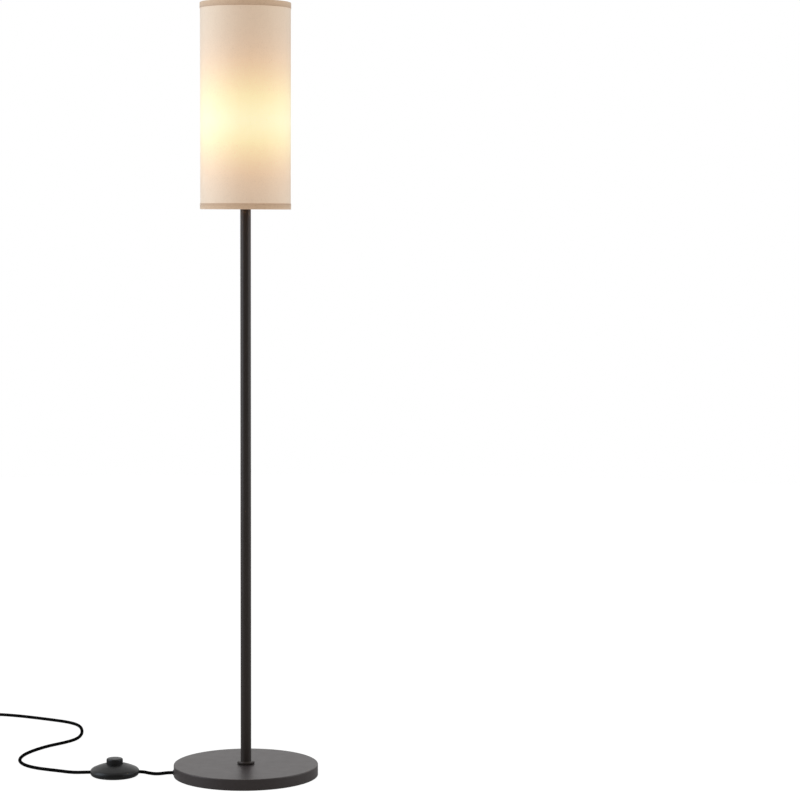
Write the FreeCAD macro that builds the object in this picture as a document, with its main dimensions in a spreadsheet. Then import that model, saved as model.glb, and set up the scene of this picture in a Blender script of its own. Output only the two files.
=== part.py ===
import FreeCAD, Part
import math
import os
import re

from Sketcher import Constraint

# Column floor lamp: a drum shade on a tube pole, a round weighted foot, and a foot switch on its cord.
# Origin: centre of the foot on the floor. +Z is up, the cord leaves towards -X. Millimetres.

SIZES = [
    # foot
    ("base_dia", 300, "outside of the round foot"),
    ("base_height", 24, "floor to the top face of the foot"),
    ("base_wall", 1.2, "sheet of the spun cover"),
    ("fit_side", 0.3, "bottom plate to the cover, per side"),
    ("base_round", 1.6, "rounding of the cover's top edge"),
    ("rim_lift", 1, "floor to the cover's lower rim"),
    ("pad_inset", 8, "foot's outside to the non-slip ring"),
    ("pad_band", 24, "width of the non-slip ring"),
    ("pad_thick", 1.5, "non-slip ring"),
    ("plate_thick", 1, "bottom plate"),
    ("weight_thick", 9, "cast disc"),
    ("weight_gap", 0.2, "disc to the cover, all round"),
    ("screw_count", 3, "bottom plate's screws"),
    ("screw_aside", 18, "non-slip ring's bore to the centres of the bottom plate's screws"),
    ("screw_dia", 4, "bottom plate's screws"),
    ("screw_head_dia", 8, "bottom plate's screws"),
    ("screw_head", 1.1, "height of their heads"),
    ("screw_bite", 4, "depth that a screw goes into the disc"),
    ("spacer_dia", 10, "tubes between plate and disc"),
    # threaded rod at the centre, and what it clamps
    ("rod_dia", 10, "threaded tube"),
    ("rod_bore", 7, "its bore, for the wires"),
    ("thread_gap", 0.05, "between a thread and its nut, per side"),
    ("rod_tail", 0.5, "rod past its nut"),
    ("washer_dia", 30, "flat washer"),
    ("washer_thick", 1.5, "flat washer"),
    ("lock_dia", 18, "toothed lock washer"),
    ("lock_thick", 0.8, "toothed lock washer"),
    ("nut_flats", 17, "across the flats"),
    ("nut_height", 4, "clamping nut"),
    # pole
    ("pole_dia", 22, "outside of the tube"),
    ("pole_wall", 1, "tube wall"),
    ("section_length", 408, "each of the three pole sections"),
    ("bush_length", 14, "threaded plug in each tube end"),
    ("bush_gap", 0.04, "plug to tube, per side"),
    ("rod_setback", 2, "rod end inside a plug"),
    ("collar_dia", 36, "ring at the pole's foot"),
    ("collar_height", 6.5, "ring at the pole's foot"),
    ("collar_round", 3, "its bead"),
    ("collar_gap", 0.1, "ring to pole, per side"),
    # lamp holder
    ("cap_dia", 34, "lower cup of the holder"),
    ("cap_wall", 1.6, "cup wall"),
    ("cap_floor", 3, "cup floor, threaded"),
    ("cap_height", 20, "cup"),
    ("flange_dia", 44, "collar that the shade fitter rests on"),
    ("flange_thick", 2.5, "that collar"),
    ("barrel_dia", 33, "threaded outside of the holder"),
    ("barrel_length", 28, "from the flange up"),
    ("spigot_depth", 7, "body inside the cup"),
    ("terminal_height", 5, "brass terminal blocks"),
    ("terminal_width", 6, "brass terminal blocks"),
    ("terminal_gap", 1.6, "between the two terminals"),
    ("holder_floor", 5.4, "flange's underside to the floor under the bulb"),
    ("shell_bore", 26.9, "inside of the brass screw shell"),
    ("shell_wall", 0.4, "brass"),
    ("contact_thick", 0.4, "centre contact"),
    ("contact_rise", 1.6, "centre contact above the holder's floor"),
    ("nut_ring_dia", 46, "fitter's ring nut"),
    ("nut_ring_height", 8, "fitter's ring nut"),
    ("nut_ring_ribs", 24, "finger grooves"),
    ("rib_dia", 2.4, "finger groove"),
    ("running_gap", 0.3, "between faces that turn or slide on each other"),
    # bulb
    ("bulb_dia", 60, "globe"),
    ("bulb_length", 108, "overall"),
    ("bulb_cap_dia", 26, "screw cap"),
    ("bulb_cap_height", 21, "screw cap"),
    ("bulb_tip_dia", 9, "centre contact"),
    ("bulb_tip", 1.2, "centre contact's height"),
    ("bulb_glass", 5, "contact end to the cap's lower edge"),
    ("bulb_body_height", 34, "housing between cap and diffuser"),
    ("bulb_neck_dia", 32, "housing just above the cap"),
    ("bulb_wall", 1.4, "diffuser and housing"),
    # shade
    ("shade_dia", 185, "outside of the linen"),
    ("shade_height", 420, "with its hems"),
    ("fitter_drop", 95.8, "fitter ring's underside down to the shade's lower edge"),
    ("linen_thick", 0.8, "cloth"),
    ("liner_thick", 0.4, "stiff film that the cloth is glued to"),
    ("glue_gap", 0.05, "between glued layers"),
    ("hem_height", 12, "bias tape, outside"),
    ("hem_inside", 8, "bias tape, inside"),
    ("hem_thick", 0.6, "bias tape"),
    ("wire_dia", 3, "frame wire"),
    ("wire_gap", 0.15, "wire to the layers round it"),
    ("arm_count", 3, "fitter arms"),
    ("arm_dia", 2.6, "fitter arms"),
    ("fitter_ring_dia", 52, "centre ring of the fitter"),
    ("fitter_ring_thick", 2, "centre ring of the fitter"),
    ("arm_slot", 6, "slot in the lower hem for each arm"),
    # mains lead
    ("cord_dia", 7, "round sheathed lead"),
    ("cord_lift", 0.1, "under the lead"),
    ("lead_clear", 0.4, "lead above the bottom plate"),
    ("grommet_body", 9.4, "in the rim's notch"),
    ("grommet_flange", 11.4, "each side of the rim"),
    ("flange_depth", 1.2, "of the grommet"),
    ("grommet_slack", 0.2, "each flange to the rim"),
    ("conductor_dia", 2.2, "insulated conductors in the pole"),
    ("conductor_pitch", 2.6, "between the two conductors"),
    ("conductor_bend", 6, "their bend into the rod"),
    ("lead_end", 24, "sheath stops this far from the axis"),
    ("clamp_place", 54, "lead clamp, centre, from the axis"),
    ("clamp_length", 12, "along the lead"),
    ("clamp_width", 14, "across the lead"),
    ("clamp_ear", 10, "screw ear"),
    ("clamp_screw_dia", 3, "its screw"),
    # foot switch
    ("switch_place", 272, "its centre from the pole's axis"),
    ("switch_dia", 102, "rim"),
    ("switch_foot", 85, "flat underside"),
    ("switch_height", 27, "floor to the top of the dome"),
    ("switch_rim", 9, "floor to the parting line"),
    ("switch_wall", 2, "housing"),
    ("switch_seam", 0.2, "parting line"),
    ("rim_round", 9, "rounding of the cover above the parting line"),
    ("rim_angle", 64, "degrees that this rounding turns through before the flatter crown"),
    ("bowl_arc", 8.2, "curve of the underside"),
    ("switch_pad_dia", 10, "rubber feet"),
    ("switch_pad_thick", 1.5, "rubber feet"),
    ("switch_pad_count", 3, "rubber feet"),
    ("switch_pad_circle", 30, "radius that the feet lie on"),
    ("button_dia", 34, "foot button"),
    ("button_top", 38, "floor to its top face"),
    ("button_round", 3, "edge of its top"),
    ("button_wall", 2, "button"),
    ("button_lip", 1.6, "flange that keeps it in"),
    ("lip_drop", 1, "flange below the dome's inner edge"),
    ("button_travel", 4, "down"),
    ("block_long", 28, "switching block, along the lead"),
    ("block_wide", 18, "switching block"),
    ("block_height", 7, "switching block"),
    ("stem_dia", 6, "button's stem"),
    ("spring_dia", 13, "mean of the return spring"),
    ("spring_wire", 1, "return spring"),
    ("spring_turns", 5, "return spring"),
    ("post_count", 3, "screw posts"),
    ("post_circle", 33, "radius that the screw posts lie on"),
    ("post_dia", 7, "screw posts"),
    ("post_screw_dia", 3, "housing screws"),
    ("post_screw_length", 9, "their shanks"),
    ("post_head_dia", 6, "their heads"),
    ("post_head", 1, "their heads"),
    ("bush_dia", 9.2, "rubber bush where the lead enters the switch"),
    ("bush_depth", 9, "that bush, along the lead"),
    ("bush_setback", 6, "bush inside the rim"),
    # put-away lead and its plug
    ("coil_x", -636, "coil centre"),
    ("coil_y", 696, "coil centre"),
    ("coil_radius", 48.8, "outermost turn"),
    ("coil_pitch", 7.6, "turn to turn, and layer to layer"),
    ("coil_layer_turns", 2.5, "turns in the lower layer, and again in the upper"),
    ("coil_climb", 0.5, "share of a turn in which it climbs"),
    ("strap_thick", 1, "tie round the coil"),
    ("strap_width", 10, "tie round the coil"),
    ("strap_slack", 0.25, "tie to the coil, all round"),
    ("plug_aside", 37, "coil's outermost turn to the plug's axis"),
    ("plug_ahead", 30, "coil centre to the sleeve's narrow end"),
    ("plug_length", 32, "body"),
    ("plug_width", 25, "body"),
    ("plug_height", 14, "body"),
    ("plug_round", 4, "body's long edges"),
    ("relief_length", 30, "tapered sleeve behind the plug"),
    ("relief_big", 12.4, "its wide end"),
    ("relief_small", 8.8, "its narrow end"),
    ("relief_ribs", 6, "its ribs"),
    ("relief_groove", 0.8, "depth between the ribs"),
    ("relief_rib_share", 0.6, "rib's share of its pitch"),
    ("blade_length", 17, "flat pins"),
    ("blade_width", 6.4, "flat pins"),
    ("blade_thick", 1.5, "flat pins"),
    ("blade_pitch", 12.7, "pin to pin"),
    ("blade_hole_dia", 3.2, "hole in each pin"),
    ("blade_hole_end", 4.25, "hole's centre to the pin's tip"),
]

doc = FreeCAD.newDocument("ColumnFloorLamp")
sheet = doc.addObject("Spreadsheet::Sheet", "Sizes")
for row, (alias, number, note) in enumerate(SIZES, 1):
    sheet.set("A" + str(row), alias)
    sheet.set("B" + str(row), str(number))
    sheet.set("C" + str(row), note)
    sheet.setAlias("B" + str(row), alias)
doc.recompute()

ALIASES = {alias for alias, number, note in SIZES}
nodes = {}


def bound(text):
    """Writes each size in a formula as a reference to its cell."""
    return re.sub(r"[a-z_]+", lambda word: "Sizes." + word[0] if word[0] in ALIASES else word[0], text)


def value(text):
    """The number that a formula of sizes gives now."""
    number = sheet.evalExpression(bound(text))
    return float(getattr(number, "Value", number))


def place(piece, x="0", y="0", z="0", axis=None, angle=0):
    """Turns a piece about its own origin, and binds its position to the sizes."""
    if axis:
        turn = FreeCAD.Rotation(FreeCAD.Vector(*axis), angle)
        piece.Placement = FreeCAD.Placement(FreeCAD.Vector(), turn)
    for letter, text in zip("xyz", (x, y, z)):
        if text != "0":
            piece.setExpression("Placement.Base." + letter, bound(text))
    return piece


def node(name, piece):
    """Names a finished sub-part, which becomes one file."""
    piece.Label = name
    nodes[name] = piece
    return piece


def plane(body, role):
    return next(item for item in body.Origin.OriginFeatures if item.Role == role)


def outline(body, name, points, role="XZ_Plane"):
    """A closed sketch. A point is (x, y), or (x, y, radius, side) where an arc runs to the next point."""
    sketch = body.newObject("Sketcher::SketchObject", name)
    sketch.AttachmentSupport = [(plane(body, role), "")]
    sketch.MapMode = "FlatFace"
    spots = [FreeCAD.Vector(value(point[0]), value(point[1]), 0) for point in points]
    ends = []
    for index, point in enumerate(points):
        start = spots[index]
        finish = spots[(index + 1) % len(spots)]
        if len(point) == 2:
            sketch.addGeometry(Part.LineSegment(start, finish))
            ends.append((1, 2))
            continue
        radius = value(point[2])
        chord = finish - start
        across = FreeCAD.Vector(-chord.y, chord.x, 0).normalize() * point[3]
        centre = (start + finish) * 0.5 - across * math.sqrt(radius ** 2 - chord.Length ** 2 / 4)
        first, last = (finish, start) if point[3] > 0 else (start, finish)
        angles = [math.atan2(spot.y - centre.y, spot.x - centre.x) for spot in (first, last)]
        circle = Part.Circle(centre, FreeCAD.Vector(0, 0, 1), radius)
        sketch.addGeometry(Part.ArcOfCircle(circle, angles[0], angles[1]))
        ends.append((2, 1) if point[3] > 0 else (1, 2))
    rules = []
    for index, point in enumerate(points):
        following = (index + 1) % len(points)
        sketch.addConstraint(Constraint("Coincident", index, ends[index][1], following, ends[following][0]))
        if abs(spots[index].x) < 1e-9:
            sketch.addConstraint(Constraint("PointOnObject", index, ends[index][0], -2))
        else:
            rules.append(("DistanceX", index, spots[index].x, point[0]))
        if abs(spots[index].y) < 1e-9:
            sketch.addConstraint(Constraint("PointOnObject", index, ends[index][0], -1))
        else:
            rules.append(("DistanceY", index, spots[index].y, point[1]))
        if len(point) == 4:
            rules.append(("Radius", index, value(point[2]), point[2]))
    for kind, index, number, text in rules:
        if kind == "Radius":
            rule = sketch.addConstraint(Constraint(kind, index, number))
        else:
            rule = sketch.addConstraint(Constraint(kind, -1, 1, index, ends[index][0], number))
        sketch.setExpression("Constraints[" + str(rule) + "]", bound(text))
    return sketch


def turned(name, points):
    """A round piece: an outline of (radius, height) points turned about Z."""
    body = doc.addObject("PartDesign::Body", name)
    sketch = outline(body, name + "_outline", points)
    turn = body.newObject("PartDesign::Revolution", name + "_turn")
    turn.Profile = sketch
    turn.ReferenceAxis = (sketch, ["V_Axis"])
    turn.Angle = 360
    doc.recompute()
    return body


def tube(name, outer, inner, low, high):
    return turned(name, [(inner, low), (outer, low), (outer, high), (inner, high)])


def rounded(body, radius, *circles):
    """Rounds the circular edges that have these radii and heights."""
    spots = [(value(across), value(height)) for across, height in circles]
    solid = body.Tip
    names = []
    for index, edge in enumerate(solid.Shape.Edges, 1):
        if isinstance(edge.Curve, Part.Circle):
            spot = (edge.Curve.Radius, edge.Curve.Center.z)
            if any(math.dist(spot, wanted) < 1e-4 for wanted in spots):
                names.append("Edge" + str(index))
    fillet = body.newObject("PartDesign::Fillet", body.Name + "_round")
    fillet.Base = (solid, names)
    fillet.setExpression("Radius", bound(radius))
    doc.recompute()


def columns(body, name, kind, radius, distance, low, length, count, along="x"):
    """Round holes (Pocket) or posts (Pad) that rise from a height, spread round the axis."""
    sketch = body.newObject("Sketcher::SketchObject", name + "_circle")
    sketch.AttachmentSupport = [(plane(body, "XY_Plane"), "")]
    sketch.MapMode = "FlatFace"
    sketch.setExpression("AttachmentOffset.Base.z", bound(low))
    away = value(distance)
    centre = FreeCAD.Vector(away, 0, 0) if along == "x" else FreeCAD.Vector(0, away, 0)
    sketch.addGeometry(Part.Circle(centre, FreeCAD.Vector(0, 0, 1), value(radius)))
    size = sketch.addConstraint(Constraint("Radius", 0, value(radius)))
    sketch.setExpression("Constraints[" + str(size) + "]", bound(radius))
    reach = sketch.addConstraint(Constraint("Distance" + along.upper(), -1, 1, 0, 3, away))
    sketch.setExpression("Constraints[" + str(reach) + "]", bound(distance))
    sketch.addConstraint(Constraint("PointOnObject", 0, 3, -1 if along == "x" else -2))
    before = body.Tip.Shape.Volume
    column = body.newObject("PartDesign::" + kind, name)
    column.Profile = sketch
    column.Reversed = kind == "Pocket"
    column.setExpression("Length", bound(length))
    doc.recompute()
    pattern = body.newObject("PartDesign::PolarPattern", name + "_pattern")
    pattern.Originals = [column]
    pattern.Axis = (sketch, ["N_Axis"])
    pattern.Angle = 360
    pattern.setExpression("Occurrences", bound(count))
    body.Tip = pattern
    doc.recompute()
    gained = body.Tip.Shape.Volume - before
    if gained * (1 if kind == "Pad" else -1) <= 0:
        raise ValueError(name + " changes nothing")


def primitive(kind, name, x="0", y="0", z="0", axis=None, angle=0, **lengths):
    piece = doc.addObject("Part::" + kind, name)
    for length, text in lengths.items():
        piece.setExpression(length, bound(text))
    return place(piece, x, y, z, axis, angle)


def rod_along_x(name, radius, start, length, z, y="0"):
    return primitive("Cylinder", name, start, y, z, (0, 1, 0), 90, Radius=radius, Height=length)


def fused(name, pieces):
    joined = doc.addObject("Part::MultiFuse", name)
    joined.Shapes = pieces
    return joined


def cut(name, base, *tools):
    result = doc.addObject("Part::Cut", name)
    result.Base = base
    result.Tool = tools[0] if len(tools) == 1 else fused(name + "_tools", list(tools))
    return result


def group(name, pieces):
    """Identical pieces that share one file as separate solids."""
    together = doc.addObject("Part::Compound", name)
    together.Links = pieces
    return node(name, together)


def spread(count, distance, first=0):
    """The places of pieces spread evenly round the axis."""
    for index in range(count):
        turn = first + 360 * index / count
        yield f"{distance} * cos({turn} deg)", f"{distance} * sin({turn} deg)"


def screw(name, head_dia, shank_dia, low, head, high):
    """A screw that points up: its head's lower face is at low, its tip at high."""
    neck = f"({low} + {head})"
    return turned(name, [
        ("0", low), (f"{head_dia} / 2", low), (f"{head_dia} / 2", neck),
        (f"{shank_dia} / 2", neck), (f"{shank_dia} / 2", high), ("0", high),
    ])


def vector(x, y, z):
    return FreeCAD.Vector(x, y, z)


ARC_SHARE = 0.45  # of the shorter run beside a corner, taken by the corner's arc


def rounded_path(points, name):
    """Straight runs joined by tangent arcs, each arc as large as its two runs allow."""
    edges = []
    radii = []
    start = points[0]
    for before, corner, after in zip(points, points[1:], points[2:]):
        back = FreeCAD.Vector(before - corner).normalize()
        ahead = FreeCAD.Vector(after - corner).normalize()
        turn = math.pi - back.getAngle(ahead)
        reach = ARC_SHARE * min((before - corner).Length, (after - corner).Length)
        radius = reach / math.tan(turn / 2)
        radii.append(radius)
        middle = (back + ahead).normalize()
        through = corner + middle * (radius / math.cos(turn / 2) - radius)
        edges.append(Part.LineSegment(start, corner + back * reach).toShape())
        edges.append(Part.Arc(corner + back * reach, through, corner + ahead * reach).toShape())
        start = corner + ahead * reach
    edges.append(Part.LineSegment(start, points[-1]).toShape())
    print(name, "bend radii, mm:", [round(radius) for radius in radii])
    return Part.Wire(edges)


def biarc(start, start_way, finish, finish_way):
    """Two tangent arcs from one place and heading to another."""
    gap = finish - start
    ways = start_way + finish_way
    square = 2 * (1 - start_way.dot(finish_way))
    lean = gap.dot(ways)
    if square < 1e-9:
        reach = gap.dot(gap) / (4 * gap.dot(finish_way))
    else:
        reach = (math.sqrt(lean ** 2 + square * gap.dot(gap)) - lean) / square
    joint = (start + finish + (start_way - finish_way) * reach) * 0.5
    arcs = []
    for first, way in ((start, start_way), (finish, finish_way * -1)):
        chord = joint - first
        along = FreeCAD.Vector(chord).normalize()
        bulge = (way - along * way.dot(along)).normalize()
        through = (first + joint) * 0.5 + bulge * (chord.Length / 2 * math.tan(chord.getAngle(way) / 2))
        arcs.append((first, through, joint))
    return [Part.Arc(*arcs[0]).toShape(), Part.Arc(*reversed(arcs[1])).toShape()]


def wound_path(spot, turns, name, thickness, lead_in=0):
    """A wire along spot(turn), by biarcs of a quarter turn each, with straight ends."""
    step = 1e-4
    count = round(turns * 4)
    knots = [turns * index / count for index in range(count + 1)]
    ways = [(spot(min(knot + step, turns)) - spot(max(knot - step, 0))).normalize() for knot in knots]
    edges = []
    for index in range(count):
        edges += biarc(spot(knots[index]), ways[index], spot(knots[index + 1]), ways[index + 1])
    if lead_in:
        first, last = spot(0), spot(turns)
        edges.insert(0, Part.LineSegment(first - ways[0] * lead_in, first).toShape())
        edges.append(Part.LineSegment(last, last + ways[-1] * lead_in).toShape())
    wire = Part.Wire(edges)
    samples = 48
    line = [spot(index / samples) for index in range(round(turns * samples) + 1)]
    gaps = [
        (one - other).Length
        for index, one in enumerate(line)
        for other in line[index + samples // 2:]
    ]
    print(name, "least gap to itself, mm:", round(min(gaps) - thickness, 2))
    return wire


def swept(wire, radius):
    """A round bar along a wire."""
    start = wire.Edges[0]
    circle = Part.Circle(start.valueAt(start.FirstParameter), start.tangentAt(start.FirstParameter), radius)
    shell = Part.BRepOffsetAPI.MakePipeShell(wire)
    shell.add(Part.Wire([circle.toShape()]))
    shell.build()
    shell.makeSolid()
    return shell.shape()


def shaped(name, shape):
    piece = doc.addObject("Part::Feature", name)
    piece.Shape = shape
    piece.Placement = FreeCAD.Placement()
    return piece


def bar(name, points, diameter):
    """A bar or lead along a route, with its volume compared with its section times its length."""
    wire = rounded_path(points, name)
    shape = swept(wire, diameter / 2)
    expected = math.pi * diameter ** 2 / 4 * wire.Length
    if abs(shape.Volume / expected - 1) > 0.01:
        raise ValueError(name + " has the wrong volume")
    print(name, "length, mm:", round(wire.Length))
    return shaped(name, shape)


# Heights, each worked out from the piece below it.
RIM = "(base_dia / 2)"
PLATE_TOP = "(pad_thick + plate_thick)"
COVER_INSIDE = "(base_height - base_wall)"
WEIGHT_TOP = f"({COVER_INSIDE} - weight_gap)"
WEIGHT_LOW = f"({WEIGHT_TOP} - weight_thick)"
WASHER_LOW = f"({WEIGHT_LOW} - washer_thick)"
LOCK_LOW = f"({WASHER_LOW} - lock_thick)"
NUT_LOW = f"({LOCK_LOW} - nut_height)"
LEAD_LEVEL = f"({PLATE_TOP} + lead_clear + cord_dia / 2)"
WIRE_LEVEL = f"({PLATE_TOP} + running_gap * 2 + conductor_dia / 2)"
POLE_TOP = "(base_height + 3 * section_length)"
FLANGE_LOW = f"({POLE_TOP} + cap_height)"
FLANGE_TOP = f"({FLANGE_LOW} + flange_thick)"
BARREL_TOP = f"({FLANGE_TOP} + barrel_length)"
SPIGOT_LOW = f"({FLANGE_LOW} - spigot_depth)"
HOLDER_FLOOR = f"({FLANGE_LOW} + holder_floor)"
TERMINAL_LOW = f"({SPIGOT_LOW} - terminal_height)"
BULB_LOW = f"({HOLDER_FLOOR} + contact_rise + running_gap)"
FITTER_LOW = f"({FLANGE_TOP} + running_gap)"
FITTER_TOP = f"({FITTER_LOW} + fitter_ring_thick)"
NUT_RING_LOW = f"({FITTER_TOP} + running_gap)"
SHADE_LOW = f"({FITTER_LOW} - fitter_drop)"
SHADE_TOP = f"({SHADE_LOW} + shade_height)"

ROD_HOLE = "(rod_dia / 2 + running_gap)"
THREAD_HOLE = "(rod_dia / 2 + thread_gap)"
ROD_INSIDE = "rod_bore / 2"
CORD = "(cord_dia / 2)"
FLOOR_LEVEL = "(cord_lift + cord_dia / 2)"
EXIT_X = f"(-{RIM})"
GROMMET_X = f"({EXIT_X} - flange_depth - grommet_slack)"


# Foot
def foot():
    inside = f"({RIM} - base_wall)"
    shell = turned("base_cover_shell", [
        (RIM, "rim_lift"), (RIM, "base_height"), (ROD_HOLE, "base_height"),
        (ROD_HOLE, COVER_INSIDE), (inside, COVER_INSIDE), (inside, "rim_lift"),
    ])
    rounded(shell, "base_round", (RIM, "base_height"))
    notch_start = f"-{RIM} - base_wall"
    notch_half = "(grommet_body / 2 + thread_gap)"
    arch = rod_along_x("rim_notch_arch", notch_half, notch_start, "base_wall * 3", LEAD_LEVEL)
    slot = primitive("Box", "rim_notch_slot", notch_start, f"-{notch_half}",
                     Length="base_wall * 3", Width=f"2 * {notch_half}", Height=LEAD_LEVEL)
    node("base_cover", cut("cover_with_notch", shell, arch, slot))

    pad_outside = f"({RIM} - pad_inset)"
    pad_bore = f"({pad_outside} - pad_band)"
    screw_circle = f"({pad_bore} - screw_aside)"
    disc = turned("weight_disc", [
        (ROD_HOLE, WEIGHT_LOW), (f"{inside} - weight_gap", WEIGHT_LOW),
        (f"{inside} - weight_gap", WEIGHT_TOP), (ROD_HOLE, WEIGHT_TOP),
    ])
    columns(disc, "screw_threads", "Pocket", "screw_dia / 2 + thread_gap", screw_circle,
            WEIGHT_LOW, "screw_bite + running_gap", "screw_count")
    ear_y = "(clamp_width / 2 + clamp_ear / 2)"
    clamp_hole = "(clamp_screw_dia / 2 + thread_gap)"
    pit = primitive("Cylinder", "clamp_thread", "-clamp_place", ear_y, WEIGHT_LOW,
                    Radius=clamp_hole, Height="screw_bite + running_gap")
    node("base_weight", cut("weight", disc, pit))

    plate = turned("plate_disc", [
        ("0", "pad_thick"), (f"{inside} - fit_side", "pad_thick"),
        (f"{inside} - fit_side", PLATE_TOP), ("0", PLATE_TOP),
    ])
    columns(plate, "plate_holes", "Pocket", "screw_dia / 2 + running_gap", screw_circle,
            "pad_thick", "plate_thick", "screw_count")
    plate_slot = primitive("Box", "plate_slot", f"-{RIM}", "-grommet_flange / 2 - running_gap",
                           Length="base_wall * 2 + flange_depth * 2", Height=PLATE_TOP,
                           Width="grommet_flange + 2 * running_gap")
    node("base_plate", cut("plate", plate, plate_slot))
    node("base_pad", tube("pad_ring", pad_outside, pad_bore, "0", "pad_thick"))

    screws = []
    spacers = []
    count = round(value("screw_count"))
    for index, (x, y) in enumerate(spread(count, screw_circle), 1):
        spacer = tube(f"spacer_{index}", "spacer_dia / 2", "screw_dia / 2 + running_gap",
                      PLATE_TOP, WEIGHT_LOW)
        spacers.append(place(spacer, x, y))
        one = screw(f"plate_screw_{index}", "screw_head_dia", "screw_dia",
                    "(pad_thick - screw_head)", "screw_head", f"({WEIGHT_LOW} + screw_bite)")
        screws.append(place(one, x, y))
    group("plate_spacers", spacers)
    group("plate_screws", screws)

    bore = f"({CORD} + thread_gap)"
    body, flange = "grommet_body / 2", "grommet_flange / 2"
    groove = "(flange_depth + base_wall + 2 * grommet_slack)"
    deep = f"({groove} + flange_depth)"
    grommet = turned("rim_grommet", [
        (bore, "0"), (flange, "0"), (flange, "flange_depth"), (body, "flange_depth"),
        (body, groove), (flange, groove), (flange, deep), (bore, deep),
    ])
    node("base_grommet", place(grommet, GROMMET_X, z=LEAD_LEVEL, axis=(0, 1, 0), angle=90))
    lead = rod_along_x("inner_lead", CORD, EXIT_X, f"-{EXIT_X} - lead_end", LEAD_LEVEL)
    node("base_lead", lead)

    block = primitive("Box", "clamp_block", "-clamp_place - clamp_length / 2", "-clamp_width / 2",
                      f"{LEAD_LEVEL} - {CORD} / 2", Length="clamp_length", Width="clamp_width",
                      Height=f"{WEIGHT_LOW} - {LEAD_LEVEL} + {CORD} / 2")
    ear = primitive("Box", "clamp_ear_plate", "-clamp_place - clamp_length / 2", "clamp_width / 2",
                    f"{WEIGHT_LOW} - clamp_screw_dia", Length="clamp_length", Width="clamp_ear",
                    Height="clamp_screw_dia")
    seat = rod_along_x("clamp_seat", bore, "-clamp_place - clamp_length", "clamp_length * 2", LEAD_LEVEL)
    hole = primitive("Cylinder", "clamp_hole", "-clamp_place", ear_y, f"{WEIGHT_LOW} - clamp_screw_dia * 2",
                     Radius=clamp_hole, Height="clamp_screw_dia * 2")
    node("cord_clamp", cut("clamp", fused("clamp_solid", [block, ear]), seat, hole))
    holder = screw("clamp_fixing", "clamp_screw_dia * 2", "clamp_screw_dia",
                   f"({WEIGHT_LOW} - clamp_screw_dia - screw_head)", "screw_head",
                   f"({WEIGHT_LOW} + screw_bite)")
    node("clamp_screw", place(holder, "-clamp_place", ear_y))

    node("base_washer", tube("flat_washer", "washer_dia / 2", ROD_HOLE, WASHER_LOW, WEIGHT_LOW))
    node("base_lock_washer", tube("toothed_washer", "lock_dia / 2", ROD_HOLE, LOCK_LOW, WASHER_LOW))
    hexagon = primitive("Prism", "nut_hexagon", z=NUT_LOW, Circumradius="nut_flats / sqrt(3)",
                        Height="nut_height")
    thread = primitive("Cylinder", "nut_thread", z=NUT_LOW, Radius=THREAD_HOLE, Height="nut_height")
    node("base_nut", cut("nut", hexagon, thread))
    node("base_rod", tube("threaded_rod", "rod_dia / 2", ROD_INSIDE, f"({NUT_LOW} - rod_tail)",
                          "(base_height + bush_length - rod_setback)"))


# Pole
def pole():
    outer = "pole_dia / 2"
    inner = "(pole_dia / 2 - pole_wall)"
    bushes = []
    rods = []
    names = ["pole_lower", "pole_middle", "pole_upper"]
    for index, name in enumerate(names):
        low = f"(base_height + {index} * section_length)"
        high = f"(base_height + {index + 1} * section_length)"
        node(name, tube(name + "_tube", outer, inner, low, high))
        bush_ends = ((low, f"({low} + bush_length)"), (f"({high} - bush_length)", high))
        for end, (start, stop) in enumerate(bush_ends):
            bushes.append(tube(f"{name}_bush_{end}", f"{inner} - bush_gap", THREAD_HOLE, start, stop))
        if index:
            reach = "(bush_length - rod_setback)"
            rods.append(tube(f"joint_rod_{index}", "rod_dia / 2", ROD_INSIDE,
                             f"({low} - {reach})", f"({low} + {reach})"))
    group("pole_bushes", bushes)
    group("joint_rods", rods)
    ring = turned("foot_ring", [
        (f"{outer} + collar_gap", "base_height"), ("collar_dia / 2", "base_height"),
        ("collar_dia / 2", "(base_height + collar_height)"),
        (f"{outer} + collar_gap", "(base_height + collar_height)"),
    ])
    rounded(ring, "collar_round", ("collar_dia / 2", "base_height"),
            ("collar_dia / 2", "(base_height + collar_height)"))
    node("pole_collar", ring)

    wires = []
    for side in (-1, 1):
        y = value("conductor_pitch") / 2 * side
        low = value(WIRE_LEVEL)
        wires.append(bar("conductor_" + ("left" if side < 0 else "right"), [
            vector(-value("lead_end"), y, value(LEAD_LEVEL)),
            vector(-value("lead_end") + value("conductor_dia") * 2, y, value(LEAD_LEVEL)),
            vector(-value("conductor_bend") / ARC_SHARE, y, low),
            vector(0, y, low),
            vector(0, y, value(TERMINAL_LOW)),
        ], value("conductor_dia")))
    group("pole_wires", wires)


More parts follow.
